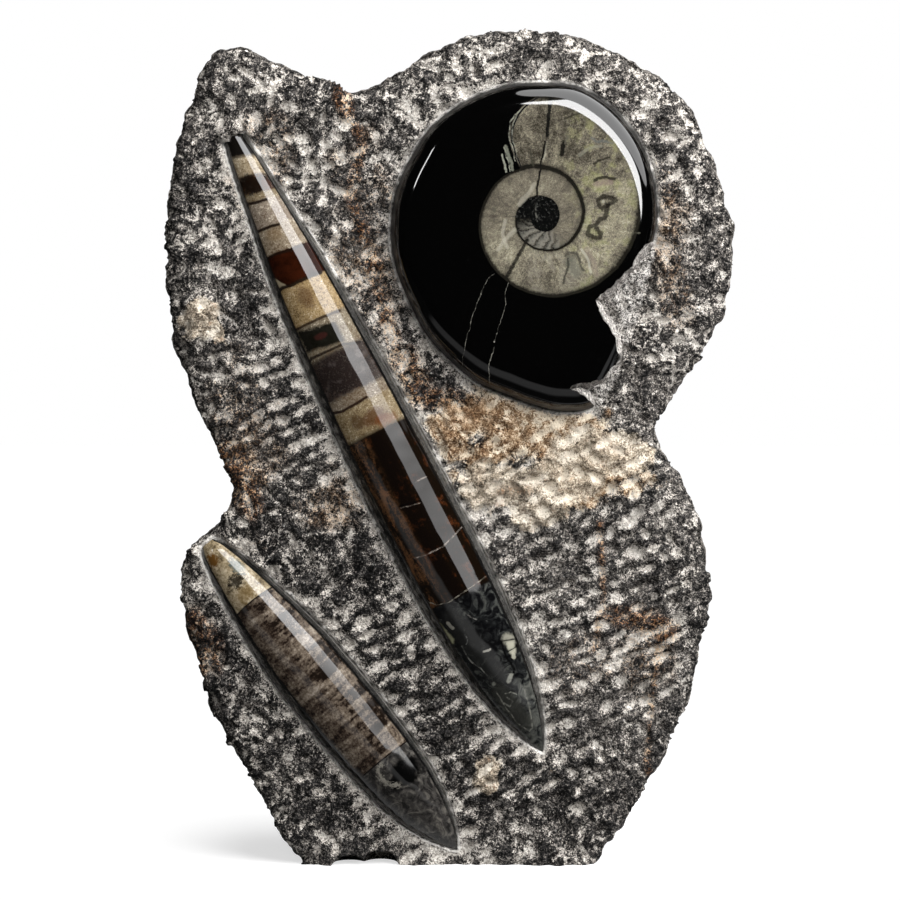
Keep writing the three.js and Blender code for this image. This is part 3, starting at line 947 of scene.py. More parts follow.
def stone_material():
    """Dark limestone, bruised white by the chisel, with ochre and rust stains."""
    s = Shader("hewn_limestone")
    p = s.place()
    x, _, z = s.axes(p)
    gap = s.attribute("fossil_gap")
    grain = s.noise(p, 0.62, 1, 0.6)
    fine = s.noise(p, 1.5, 3, 0.7)
    medium = s.noise(p, 4.6, 4, 0.62)
    streak = s.noise(p, 3.0, 5, 0.72, 2.0)
    broad = s.noise(p, 30, 3, 0.5)
    hollow = s.attribute("relief") * -0.03

    # The bruises are crushed stone with powdery edges; the rest keeps its dark crystalline grain
    bruise = s.attribute("bruise") + s.step(gap + medium * 6.0, 7.0, 1.0) * 0.4
    crushed = s.step(bruise + streak * 1.1 + fine + grain * 0.6 + broad * 0.3, 0.16, 0.72)
    # Painted light: the stone is made paler by place, most on its right side, over its upper half and near
    # its foot
    right = s.step(x, -10, 60)
    paler = right * s.step(z, 10, 80) * (0.085 - s.step(z, 200, 280) * 0.03) + s.step(z, 160, 60) * 0.03
    paler = paler + s.step(z, 150, 180) * (0.055 - right * 0.03)
    crystals = s.cells(p, 1.3, "Color") - 0.5
    level = crushed * 0.44 + fine * 0.8 + grain * 0.9 + crystals * 0.28 + streak * 0.7 + medium * 0.5 + hollow
    level = level + paler + 0.235
    colour = s.ramp(level, [
        (0.0, "050505"), (0.13, "171717"), (0.28, "3c3a39"), (0.44, "746f6a"), (0.6, "aaa39b"),
        (0.77, "d2ccc3"), (0.95, "f0ebe4"),
    ])
    speck = s.step(s.cells(p, 2.6) + fine * 0.4, 0.24, 0.12) * s.step(medium, 0.0, 0.1)
    colour = s.mix(colour, "cdc9c3", speck * 0.7)

    ochre = s.step(s.attribute("ochre") + streak * 2.0 + fine * 0.8 + medium * 1.2, 0.35, 0.85)
    ochre_tint = s.ramp(level + 0.2, [
        (0.1, "2f2117"), (0.3, "6b4c33"), (0.48, "a08262"), (0.66, "cfb595"), (0.9, "efe0c8"),
    ])
    colour = s.mix(colour, ochre_tint, ochre * 0.85)
    cream = s.step(s.attribute("cream") + medium * 1.2 + fine, 0.35, 0.7)
    cream_tint = s.ramp(level + 0.2, [(0.1, "2f2a24"), (0.32, "7e7162"), (0.55, "c6b8a3"), (0.8, "f1e7d7")])
    cream_tint = s.mix(cream_tint, "a9703f", s.step(medium + streak, 0.1, 0.3) * 0.5)
    colour = s.mix(colour, cream_tint, cream * 0.85)
    brown = s.attribute("brown") * s.step(streak + fine * 0.8 + broad * 0.5, 0.0, 0.18)
    brown_tint = s.ramp(level + 0.08, [(0.1, "2a1d13"), (0.4, "674c34"), (0.8, "c0a381")])
    colour = s.mix(colour, brown_tint, brown * 0.65)
    rust = s.attribute("rust") * s.step(streak + fine * 1.1 + grain * 0.5, -0.02, 0.16)
    rust_tint = s.ramp(level + 0.05, [(0.1, "241308"), (0.35, "5f3a1f"), (0.6, "a3764d"), (0.85, "dcbf9c")])
    colour = s.mix(colour, rust_tint, rust * 0.85)

    # Scraped stone beside the fossils, and the pale line where it meets them
    scraped = s.ramp(fine * 2.2 + grain * 1.6 + streak * 1.6 + 0.5, [
        (0.12, "2a2827"), (0.34, "74706c"), (0.55, "b9b4ae"), (0.85, "efebe6"),
    ])
    colour = s.mix(colour, scraped, s.step(gap + fine * 5.0 + streak * 3.0, 2.6, 0.9) * 0.75)
    colour = s.mix(colour, scraped, s.attribute("recess") * s.step(fine + streak, -0.3, 0.1) * 0.85)
    ground = s.step(gap + streak * 1.6 + grain * 0.6, 1.5, 1.0)
    colour = s.mix(colour, s.ramp(fine * 1.6 + 0.5, [(0.25, "b0aba5"), (0.5, "f6f2ec")]), ground * 0.9)
    normal = s.bump(fine * 1.3 + grain * 0.5 + streak + medium * 0.8, 1.0)
    return s.finish(colour, 0.85, normal, Specular_IOR_Level=0.3)


# How much brighter the stone is than its tones, which are those seen through the polish
UNDER_POLISH = 1.22


def gloss(shader, colour, roughness):
    return shader.finish(shader.vector("SCALE", colour, UNDER_POLISH), roughness, IOR=1.52)


# Chambers of the long shell: distance along it where each begins, and its tone
LONG_CHAMBERS = [
    (0, "0c0a08"), (14.5, "786c58"), (24.4, "1e100a"), (33, "635845"), (37.4, "6b6156"), (50.3, "6a5f50"),
    (63.5, "200b04"), (79.6, "7d6a4b"), (99.8, "62594a"), (117, "27201d"), (138, "63594c"), (143.8, "685b44"),
    (159, "0b0603"), (247.5, "040404"),
]
SHORT_JOINTS = [34.6, 132.3]

# Lines and spots on the long shell: tone, strength, half width, and [x, z] points from one end to the other
LONG_STROKES = [
    ("120a06", 0.95, 0.75, [(-96.3, 316.5), (-91.9, 317.1), (-86.6, 318.6)]),
    ("120a06", 0.95, 0.75, [(-92.6, 302.7), (-87.2, 304.9), (-80.9, 307.0)]),
    ("120a06", 0.9, 0.65, [(-88.6, 289.2), (-82.5, 292.8), (-75.1, 294.7), (-69, 297)]),
    ("120a06", 0.95, 0.85, [(-82.2, 274.3), (-79.2, 276.7), (-73.8, 278.3), (-67.4, 281.5), (-61, 284)]),
    ("1c110a", 0.9, 0.65, [(-72.5, 256.8), (-66.4, 259.9), (-58.3, 263.6), (-52, 266)]),
    ("120a06", 0.9, 0.7, [(-66.6, 241.1), (-65.2, 243.3), (-57.8, 246.6), (-50.5, 249.9), (-42.4, 251)]),
    ("1c110a", 0.95, 0.7, [(-55.6, 216.9), (-50.5, 218.3), (-44.6, 221.6), (-39.1, 224.9)]),
    ("040303", 0.9, 0.36, [(-23.4, 173.3), (-19.0, 174.4), (-13.8, 175.8)]),
    ("7d746b", 0.55, 0.26, [(-22.9, 172.3), (-18.6, 173.4), (-13.8, 174.8)]),
    ("8a8078", 0.5, 0.3, [(-16.0, 184.6), (-10.9, 187.2)]),
    ("8a8078", 0.6, 0.34, [(-16.5, 148.3), (-10.6, 150.3), (-2.9, 154.0), (6.6, 163.4)]),
    ("181817", 0.75, 5.2, [(1.9, 119), (12.1, 106.3), (22.4, 93)]),
    ("242421", 0.8, 4.2, [(24.0, 84.0), (31.0, 76.0), (35.5, 69.5)]),
    ("6f6e58", 0.85, 1.2, [(-4.8, 116.0), (-2.6, 113.2)]),
    ("7f7e66", 0.9, 1.7, [(-2.4, 112.6), (0.6, 108.6)]),
    ("75736a", 0.8, 0.7, [(-0.8, 117.4), (1.8, 115.0)]),
    ("77756a", 0.85, 2.5, [(27.8, 109.8), (29.4, 108.9)]),
    ("8a887b", 0.9, 1.7, [(29.2, 107.0), (30.2, 103.9)]),
    ("8a887b", 0.8, 0.9, [(30.5, 102.6), (30.9, 100.9)]),
    ("0c0c0b", 0.9, 0.3, [(25.3, 108.9), (32.1, 109.3)]),
    ("0c0c0b", 0.9, 0.26, [(27.5, 103.4), (32.6, 106.2)]),
    ("040404", 0.95, 0.4, [(25.0, 108.5), (27.2, 101.2), (31.2, 95.3), (30.1, 89.5)]),
    ("7a7a74", 0.5, 0.3, [(6.3, 106.3), (7.7, 102.7), (10.7, 98.6), (15.1, 95.7), (18.2, 92)]),
    ("9a978f", 0.7, 0.5, [(16.5, 103.8), (19.6, 104.9)]),
    ("66665f", 0.7, 0.9, [(21.3, 88.2)]),
    ("77776f", 0.8, 0.9, [(28.3, 89.5), (29.6, 92.5)]),
    ("5e5f5c", 0.7, 0.3, [(7.6, 112.0), (9.0, 109.6), (8.2, 107.6)]),
    ("85827c", 0.6, 0.3, [(8.6, 121.6), (13.0, 119.2)]),
    ("65645d", 0.75, 0.3, [
        (22.4, 84.3), (27.2, 76.6), (32.7, 68.9), (38.3, 64.9), (39.9, 66.7), (39.0, 74.1), (36.0, 85.1),
    ]),
    ("77776f", 0.65, 0.3, [(26.8, 83.6), (29.6, 84.3), (32.2, 83.0)]),
    ("6b6b64", 0.6, 0.35, [(26.2, 78.9), (28.9, 77.1), (30.4, 79.8), (27.6, 81.6)]),
    ("a09a8c", 0.35, 0.27, [
        (-12.1, 130.9), (-9.9, 127.0), (-5.5, 126.1), (-0.3, 127.4), (4.1, 130.5), (8.8, 133.5),
        (13.6, 136.8), (18.7, 140.1),
    ]),
]


def chamber_ramp(shader, value, chambers, length, blur=0.45):
    """The chambers' tones along a shell, each running into the next over a short way."""
    stops = [(0, chambers[0][1])]
    for (_, before), (start, after) in zip(chambers, chambers[1:]):
        stops += [((start - blur) / length, before), ((start + blur) / length, after)]
    return shader.ramp(value / length, stops)


def line_at(shader, value, place, width):
    """1 on a thin line where a value passes a place."""
    return shader.step((value - place).math("ABSOLUTE"), width, width * 0.3)


def ellipse(u, v, centre, radii):
    """How far out a point lies from an ellipse's centre in two coordinates, 1 on its outline."""
    du = (u - centre[0]) / radii[0]
    dv = (v - centre[1]) / radii[1]
    return (du * du + dv * dv).math("SQRT")


def spot(shader, u, v, centre, radii, soft, rough):
    """1 inside an ellipse of two coordinates, with a soft rough edge."""
    return shader.step(ellipse(u, v, centre, radii) + rough, 1 + soft, 1 - soft)


def polished_border(s, colour, across, fine, left, right, painted_reflection_share):
    """The black stone left along both sides of a shell, a painted grey reflection on its right side, and its
    ground foot line.
    """
    streaks = s.drawn_noise(across * 26, fine * 0.4) + 0.5
    dark = s.ramp(streaks + fine * 0.6, [(0.3, "080808"), (0.55, "131312"), (0.8, "2a2927")])
    colour = s.mix(colour, dark, s.step(across + fine * 0.05, -left + 0.03, -left - 0.03))
    colour = s.mix(colour, "080808", s.step(across + fine * 0.04, right - 0.02, right + 0.02))
    # Painted reflection: a grey band beyond the black line on the right side, standing in for a bright panel
    # seen in the polish
    painted_reflection = s.ramp(streaks * 0.6 + fine * 0.8 + 0.2, [(0.3, "222221"), (0.5, "3b3a38"), (0.7, "565451")])
    colour = s.mix(colour, painted_reflection, s.step(across + fine * 0.03, right + 0.05, right + 0.08) * painted_reflection_share)
    foot = s.step(across.math("ABSOLUTE") + fine * 0.03, 0.965, 0.99)
    return s.mix(colour, "6a6763", foot * 0.8), foot


# A stroke darker than the first has a shade beside it, and a paler one thinner than the second is broken
DARK_STROKE = 0.05
THIN_STROKE = 0.45


def draw_strokes(shader, colour, flat, strokes, rough, halo):
    """Draws each stroke: a dark one in a shade that fades beside it, a pale one worn or, if thin, broken."""
    worn = 1 - shader.step(rough, -0.02, 0.2) * 0.5
    broken = shader.step(shader.noise(flat, 2.4, 2), -0.08, 0.1) * 0.85 + 0.15
    for hexes, strength, half_width, points in strokes:
        distance = shader.from_line(flat, points) + rough * (0.7 + half_width * 0.7)
        drawn = shader.step(distance, half_width * 1.45, half_width * 0.55) * strength
        if max(tone(hexes)[:3]) < DARK_STROKE:
            shade = shader.step(distance, half_width * 2.2 + 0.4, 0.0) * (strength * halo)
            drawn = drawn.math("MAXIMUM", shade)
        else:
            drawn = drawn * (broken if half_width < THIN_STROKE else worn)
        colour = shader.mix(colour, hexes, drawn)
    return colour


# Spots on the long shell: centre and radii as distance along and share across, tone, and strength
LONG_SPOTS = [
    ((28.6, -0.05), (4.6, 0.8), "0d0704", 0.95),
    ((30.5, 0.5), (3, 0.25), "341b0f", 0.6),
    ((88, -0.1), (5, 0.26), "3c2716", 0.65),
    ((55, -0.2), (3.0, 0.3), "5b4a33", 0.5),
    ((127.5, -0.1), (10, 0.78), "120d0d", 0.7),
    ((153.5, 0.15), (4.0, 0.35), "39200e", 0.75),
    ((156.5, 0.35), (3.0, 0.3), "4a2208", 0.6),
    ((151.5, -0.3), (3.5, 0.16), "33210f", 0.7),
]


def between(shader, value, start, end, blur):
    """1 where a value lies between two places, each crossed over a short way."""
    return shader.step(value, start, start + blur) * shader.step(value, end, end - blur)


def long_material():
    """The long shell: cream, red and black chambers, dark brown ones, and the black body chamber."""
    s = Shader("polished_shell")
    p = s.place()
    along = s.attribute("along")
    across = s.attribute("across")
    fine = s.noise(p, 1.3, 4, 0.7)
    grain = s.noise(p, 0.6, 1, 0.6)
    blotch = s.noise(p, 7, 3, 0.6)
    lean = s.step(along, 115, 20) * 2.2
    place = along - across * lean - across * across * 0.6 + blotch * 1.6 + fine * 0.8
    colour = chamber_ramp(s, place, LONG_CHAMBERS, LONG_SHELL["length"])
    smoky = between(s, place, 117, 138, 1)
    cream = between(s, place, 14, 159.5, 1) * (1 - smoky * 0.75)
    mottle = fine * 1.2 + blotch * 0.6 + grain * 0.9
    colour = s.mix(colour, "3f2e1c", cream * s.step(mottle, -0.02, 0.28) * 0.8)
    colour = s.mix(colour, "b3aa98", cream * s.step(mottle, -0.06, -0.4) * 0.7)
    red = between(s, place, 63.2, 79.9, 0.6)
    colour = s.mix(colour, s.ramp(blotch + fine * 0.4 + 0.5, [(0.35, "110401"), (0.65, "260d04")]), red)
    corner = s.step(across - (place - 71) * 0.05, -0.88, -0.94) * s.step(place, 71, 72) * red
    colour = s.mix(colour, "7d735f", corner)
    soft = fine * 1.3 + blotch
    for centre, radii, hexes, share in LONG_SPOTS:
        colour = s.mix(colour, hexes, spot(s, place, across, centre, radii, 0.3, soft * 1.5) * share)
    slanted = place - across * 3.2 + soft
    black_block = between(s, slanted, 101.8, 115.2, 2.4)
    black_block = black_block * s.step((across + 0.2 + soft * 0.08).math("ABSOLUTE"), 0.64, 0.5)
    colour = s.mix(colour, "050604", black_block * 0.97)
    colour = s.mix(colour, "2c1512", spot(s, place, across, (107.6, -0.2), (1.5, 0.2), 0.3, soft) * 0.8)
    colour = s.mix(colour, "4a4442", smoky * s.step(blotch * 1.5 + fine * 0.4, 0.02, 0.3) * 0.5)

    # Dark brown chambers: rust inside, paler streaks along the left, black in the middle
    brown = s.step(place, 159.5, 161.5) * s.step(place, 247.5, 246.5)
    drawn = s.drawn_noise(across * 5, along * 0.06, 4, 0.6, 0.5)
    colour = s.mix(colour, "3c1e0c", brown * s.step(blotch * 1.2 + fine * 0.8 + drawn, 0.08, 0.36) * 0.65)
    left = s.step(across, -0.2, -0.45)
    colour = s.mix(colour, "6a4a30", brown * left * s.step(drawn + fine * 0.5, -0.1, 0.2) * 0.5)
    middle = s.step(across + drawn, 0.3, 0.05) * s.step(across, -0.35, -0.1)
    colour = s.mix(colour, "050303", brown * middle * 0.5)

    swirl = s.noise(p, 6, 4, 0.6, 1.6)
    body = s.ramp(swirl + s.step(along, 285, 305) * 0.12 + 0.5, [
        (0.44, "050506"), (0.55, "1a1b1b"), (0.66, "363734"), (0.8, "4e4e4a"),
    ])
    colour = s.mix(colour, body, s.step(place, 247, 248.5))
    colour = draw_strokes(s, colour, s.wandering(p, 4, 0.45), LONG_STROKES, fine * 0.7, 0.3)
    # Its last number sets how strongly the painted reflection shows on the right side
    colour, foot = polished_border(s, colour, across, fine, 0.76, 0.8, 0.65)
    return gloss(s, colour, foot * 0.44 + 0.06)


def short_material():
    """The short shell: a cream tip, grey-brown chambers and a dark body chamber."""
    s = Shader("polished_shell_grey")
    p = s.place()
    along = s.attribute("along")
    across = s.attribute("across")
    fine = s.noise(p, 1.4, 4, 0.7)
    blotch = s.noise(p, 5.5, 4, 0.6)
    band = s.drawn_noise(along * 0.13, across * 0.5, 3, 0.7)
    place = along - across * across * 1.5 + fine * 0.5
    middle = s.ramp(band * 1.4 + blotch * 0.6 + fine * 0.9 + 0.52, [
        (0.26, "110c09"), (0.4, "261d17"), (0.52, "40372f"), (0.66, "5d5348"), (0.82, "7f766b"),
    ])
    tip = s.ramp(blotch * 1.2 + fine * 1.2 + 0.52, [
        (0.25, "3d3324"), (0.45, "6a5e49"), (0.6, "81755f"), (0.8, "9a8f7b"),
    ])
    for hexes, centre, radii, soft, share in (
        ("070706", (22.5, 0.0), (3.6, 0.4), 0.35, 0.9),
        ("4d3415", (8, -0.4), (3.5, 0.35), 0.4, 1.0),
        ("5f4c2a", (30, -0.1), (3.5, 0.45), 0.4, 0.5),
        ("434f4e", (17, 0.5), (5, 0.25), 0.4, 0.7),
    ):
        rough = fine * 2.4 + blotch if soft < 0.4 else fine * 2
        tip = s.mix(tip, hexes, spot(s, along, across, centre, radii, soft, rough) * share)
    swirl = s.noise(p, 6, 4, 0.6, 1.6)
    body = s.ramp(swirl + fine * 0.3 + 0.5, [(0.38, "191817"), (0.52, "2e2c2a"), (0.68, "4f4c47")])
    body = s.mix(body, "030303", spot(s, along, across, (145, 0.3), (6, 0.5), 0.3, blotch * 2))
    arc = line_at(s, ellipse(along, across, (140, 0.02), (6.5, 0.34)) + fine * 1.6, 1, 0.26)
    body = s.mix(body, "807c73", arc * s.step(across, 0.1, -0.1) * 0.6)
    blocks = s.step(across, -0.15, 0.15) * s.step(band + blotch * 0.5 + fine * 0.3, 0.02, -0.1)
    middle = s.mix(middle, "0e0906", blocks * 0.85)
    colour = s.mix(tip, middle, s.step(place, 34.4, 34.8))
    colour = s.mix(colour, body, s.step(place, 132.1, 132.6))
    for joint in SHORT_JOINTS:
        colour = s.mix(colour, "0e0a08", line_at(s, place, joint, 0.6) * 0.95)
    # Its last number sets how strongly the painted reflection shows on the right side
    colour, foot = polished_border(s, colour, across, fine, 0.74, 0.84, 0.3)
    return gloss(s, colour, foot * 0.44 + 0.06)


# The coil's centre, its suture's radius straight left of it, and its growth in one turn
COIL_CENTRE = (44.1, 309.9)
COIL_RADIUS = 12.2
COIL_GROWTH = 2.44

# Lines on the disc, as on the long shell: cracks, lips and folds of the shell, and its looped suture
DISC_STROKES = [
    ("2a2922", 0.8, 0.45, [(38.5, 342.1), (38.9, 337.8), (39.9, 334.3)]),
    ("0f0e0b", 0.95, 1.2, [(54.2, 345.0), (52.9, 339.6)]),
    ("45433a", 0.7, 0.52, [(56.0, 348.2), (54.8, 345.0)]),
    ("1e1c17", 0.85, 0.48, [(68.4, 335.2), (71.2, 337.0), (76.1, 338.4)]),
    ("6a5c56", 0.6, 1.43, [(69.4, 325.8), (76.0, 326.6)]),
    ("1b1915", 0.9, 0.75, [(68.7, 327.3), (70.5, 328.6), (74.0, 328.8), (78.2, 328.1)]),
    ("25231d", 0.85, 0.51, [(54.5, 356.5), (57.8, 357.9), (62.1, 359.1), (65.2, 358.9)]),
    ("25231d", 0.7, 0.9, [(66.3, 356.8), (69.8, 355.4), (71.2, 353.3)]),
    ("4a4c4b", 0.65, 0.6, [(67.3, 347.3), (69.8, 345.6), (72.6, 345.9), (77.2, 344.9)]),
    ("67665c", 0.5, 0.75, [(61.8, 339.4), (66.0, 342.6), (72.0, 343.6)]),
    ("171511", 0.85, 1.1, [
        (78.6, 318.0), (76.1, 319.6), (72.6, 319.7), (70.4, 318.5), (70.6, 316.1), (72.3, 314.0),
        (75.1, 316.1), (78.6, 318.0),
    ]),
    ("8b897c", 0.6, 0.7, [(73.0, 317.4)]),
    ("171511", 0.85, 1.1, [
        (75.1, 315.4), (74.4, 312.5), (73.7, 309.7), (71.2, 309.0), (69.4, 306.2), (66.3, 305.5),
        (65.6, 302.0), (68.4, 300.5), (71.2, 300.3), (71.9, 302.0), (69.8, 304.8), (69.4, 306.2),
    ]),
    ("55554c", 0.7, 2.86, [(57.5, 289.0), (60.0, 284.5)]),
    ("2b2a25", 0.85, 0.48, [(56.1, 290.4), (56.3, 287.3), (55.4, 283.7), (53.8, 279.0)]),
    ("35342d", 0.8, 0.54, [
        (55.0, 291.8), (56.8, 293.4), (60.0, 292.9), (61.7, 289.7), (62.4, 286.6), (63.6, 285.1),
    ]),
    ("6d6259", 0.5, 1.2, [(65.0, 295.0), (68.4, 289.0), (69.6, 283.0)]),
    ("9a988a", 0.5, 0.6, [(62.8, 294.6), (65.6, 290.2), (67.0, 284.0)]),
    ("4a493f", 0.6, 0.38, [(84.6, 304.1), (87.0, 302.7), (90.2, 302.7)]),
    ("9a978a", 0.3, 1.0, [(40.3, 325.2), (36.1, 319.6), (33.3, 316.1)]),
    ("9a978a", 0.35, 1.0, [(31.1, 304.1), (26.9, 299.9), (23.4, 295.0)]),
    ("9a978a", 0.35, 0.8, [(26.5, 308.5), (25.0, 302.0), (27.5, 296.0)]),
    ("45443a", 0.6, 1.05, [(21.5, 313.6)]),
    ("74746a", 0.8, 0.28, [
        (34.3, 360.9), (31.1, 358.2), (28.9, 354.7), (28.2, 349.8), (29.0, 344.9), (30.4, 341.4),
        (31.3, 336.4),
    ]),
    ("6f7066", 0.7, 0.24, [
        (32.2, 358.2), (30.2, 354.2), (29.6, 349.8), (30.3, 345.2), (31.8, 341.4), (32.6, 336.4),
    ]),
    ("5c5d53", 0.85, 0.75, [(26.8, 343.5), (27.6, 339.9), (29.2, 336.4), (29.7, 332.6)]),
    ("77786c", 0.8, 0.26, [(26.0, 343.0), (26.9, 339.4), (28.2, 335.7), (28.6, 331.6)]),
    ("74756a", 0.85, 0.45, [(25.0, 339.6), (26.1, 335.7), (26.9, 331.2)]),
    ("0a0a09", 0.95, 0.93, [(48.2, 366.6), (47.3, 361.7), (46.7, 354.7), (46.3, 348.4)]),
    ("0f0e0c", 0.95, 0.54, [
        (45.2, 345.6), (44.7, 340.7), (43.6, 336.4), (43.1, 332.2), (42.0, 326.6), (41.3, 319.6),
    ]),
    ("8d8a7c", 0.6, 0.38, [(46.2, 345.4), (45.6, 340.7), (44.5, 336.4)]),
    ("66655e", 0.4, 0.35, [(40.6, 316.1), (41.0, 312.5), (41.8, 308.3)]),
    ("12110e", 0.9, 0.9, [(36.8, 299.2), (34.0, 293.6), (30.4, 288.0), (27.3, 281.6)]),
    ("7a7870", 0.6, 0.13, [
        (21.5, 283.5), (18.3, 280.9), (15.6, 275.5), (14.0, 271.2), (10.8, 262.7), (9.7, 257.3),
        (8.1, 252.0), (7.1, 246.6), (6.0, 238.1),
    ]),
    ("7a7870", 0.6, 0.13, [
        (27.9, 279.2), (26.6, 275.0), (27.1, 269.1), (24.7, 261.6), (22.6, 255.2), (21.5, 250.9),
    ]),
    ("a09d95", 0.6, 0.35, [(21.5, 251.4)]),
    ("7a7870", 0.7, 0.22, [(21.4, 248.6), (20.4, 245.6), (18.8, 239.1), (19.3, 231.5)]),
]


def coil_colour(s, p, fine):
    """The coiled shell in its black stone, from the log spiral of its whorls."""
    x, _, z = s.axes(p)
    medium = s.noise(p, 5, 4, 0.6)
    wobble = s.noise(p, 12, 2)
    dx = x - COIL_CENTRE[0]
    dz = z - COIL_CENTRE[1]
    radius = (dx * dx + dz * dz).math("SQRT") + wobble * 1.4
    # Turns counted from straight left, growing anticlockwise as seen
    turn = (dz.math("ARCTAN2", dx) / (2 * math.pi) + 0.5).math("FRACT")
    whorl = (radius / COIL_RADIUS).math("MAXIMUM", 0.01).math("LOGARITHM", COIL_GROWTH) - turn
    # The place along the whole spiral tube, and across it
    lap = whorl.math("FLOOR")
    position = turn + lap
    width = whorl - lap
    ornament = s.drawn_noise(position * 26, width * 2.2, 4, 0.6, 0.8)
    growth = s.drawn_noise(position * 75, width * 3, 3, 0.6)
    grain = s.noise(p, 0.5, 2, 0.6)
    cloud = s.noise(p, 11, 3, 0.55, 0.6)
    outer_whorl = s.step(position, -0.05, 0.05)
    older = s.step(turn, 0.28, 0.45) * 0.065 - s.step(turn, 0.5, 0.7) * 0.14 + 0.1 - turn * 0.2
    texture = fine * 0.8 + grain * 0.7 + medium * 0.5 + ornament * 0.5 + growth * 0.45 + cloud * 0.5
    shell = s.ramp(texture + older * outer_whorl + 0.5, [
        (0.2, "24211b"), (0.36, "423e35"), (0.5, "5b564b"), (0.64, "736e5d"), (0.85, "989482"),
    ])
    shell = s.mix(shell, "65663f", s.step(medium + cloud, -0.02, 0.2) * s.step(dx, 3, 22) * 0.5)
    shell = s.mix(shell, "4b463e", s.step(position, 0.3, -0.1) * 0.45)
    folds = s.step((turn - 0.27).math("ABSOLUTE"), 0.1, 0.03)
    shell = s.mix(shell, "57534e", folds * s.step(ornament + medium * 0.5, -0.05, 0.12) * 0.45)
    seam = (whorl - whorl.math("ROUND")).math("ABSOLUTE")
    shell = s.mix(shell, "2c2a23", s.step(seam, 0.2, 0.0) * 0.5)
    shell = s.mix(shell, "0d0c09", s.step(seam - wobble * 0.02 + fine * 0.04, 0.085, 0.03) * 0.95)

    # Grey chambers of the inner whorl, and the black middle
    septa = (position * 18 + width * 1.6 + medium * 2.2).math("FRACT")
    chamber = s.ramp(septa + fine * 0.9 + grain * 0.3, [
        (0.02, "1a1917"), (0.25, "4a4944"), (0.65, "66635b"), (0.95, "26241f"),
    ])
    chambered = s.step(position, -0.6, -0.72) * s.step(position, -1.02, -0.93)
    shell = s.mix(shell, chamber, chambered * s.step(whorl, 0.0, -0.05) * 0.9)
    shell = s.mix(shell, "0a0a09", s.step(position + fine * 0.1, -0.84, -1.0))
    core = s.step(whorl + fine * 0.1, -0.9, -1.0)
    shell = s.mix(shell, s.ramp(fine + medium * 0.4 + 0.5, [(0.55, "050505"), (0.85, "4a4a46")]), core)

    # The outer whorl ends in a curved lip
    aperture = 0.818 - whorl.math("MAXIMUM", 0).math("POWER", 4) * 0.07
    past = turn - aperture + wobble * 0.006
    outer = s.step(whorl, 1.006, 0.99) * s.step(past, 0.002, -0.002)
    share = s.step(whorl, 0.006, -0.006).math("MAXIMUM", outer)
    black = s.mix("010101", "101010", s.step(s.noise(p, 0.9, 3, 0.6) + medium * 0.5, 0.2, 0.3))
    colour = s.mix(black, shell, share)
    lip = s.step((past + 0.004).math("ABSOLUTE"), 0.003, 0.001) * outer * s.step(whorl, 0.0, 0.05)
    return s.mix(colour, "101010", lip)


def goniatite_material():
    """The coiled shell in polished black stone, rough where it broke and dull round the rim."""
    s = Shader("polished_black_stone")
    p = s.place()
    fine = s.noise(p, 1.2, 4, 0.7)
    colour = coil_colour(s, p, fine)
    colour = draw_strokes(s, colour, s.wandering(p, 3.5, 0.7), DISC_STROKES, fine * 0.9, 0.25)
    fracture = s.attribute("fracture")
    broken = s.ramp(fine * 1.8 + 0.5, [(0.2, "242322"), (0.45, "6b6764"), (0.75, "c8c3bc")])
    colour = s.mix(colour, broken, fracture)
    rim = s.attribute("rim")
    colour = s.mix(colour, s.ramp(fine + 0.5, [(0.3, "080808"), (0.7, "1f1e1d")]), rim)
    return gloss(s, colour, fracture.math("MAXIMUM", rim) * 0.75 + 0.05)


# Camera, lights and floor

# The photograph's width, the millimetres in one of its pixels, and where the foot and the middle lie in it
PHOTO_SIZE = 900
PHOTO_SCALE = 0.479
PHOTO_FOOT_ROW = 864.5
PHOTO_MIDDLE_COLUMN = 449

# In metres: the camera's distance and height over its target, and the depth at which the scale above holds
CAMERA_DISTANCE = 1.7
CAMERA_RISE = 0.07
SCALE_DEPTH = 0.015
SENSOR_WIDTH = 36


def make_camera():
    target = Vector(((PHOTO_SIZE / 2 - PHOTO_MIDDLE_COLUMN) * PHOTO_SCALE * MM, 0,
                     (PHOTO_FOOT_ROW - PHOTO_SIZE / 2) * PHOTO_SCALE * MM))
    data = bpy.data.cameras.new("camera")
    data.sensor_width = SENSOR_WIDTH
    data.lens = SENSOR_WIDTH * (CAMERA_DISTANCE - SCALE_DEPTH) / (PHOTO_SIZE * PHOTO_SCALE * MM)
    camera = bpy.data.objects.new("camera", data)
    bpy.context.scene.collection.objects.link(camera)
    camera.location = target + Vector((0, -CAMERA_DISTANCE, CAMERA_RISE))
    camera.rotation_euler = (target - camera.location).to_track_quat("-Z", "Y").to_euler()
    bpy.context.scene.camera = camera


def soft_light(name, place, target, size, power, roll=0.0, seen="diffuse"):
    """A soft panel that either lights the object (diffuse) or only shows in its polish (glossy)."""
    data = bpy.data.lights.new(name, "AREA")
    data.shape = "RECTANGLE"
    data.size, data.size_y = size
    data.energy = power
    light = bpy.data.objects.new(name, data)
    bpy.context.scene.collection.objects.link(light)
    light.location = place
    facing = (Vector(target) - Vector(place)).to_track_quat("-Z", "Y")
    light.rotation_euler = (facing @ Quaternion((0, 0, 1), math.radians(roll))).to_euler()
    light.visible_glossy = seen == "glossy"
    light.visible_diffuse = seen == "diffuse"
    return light


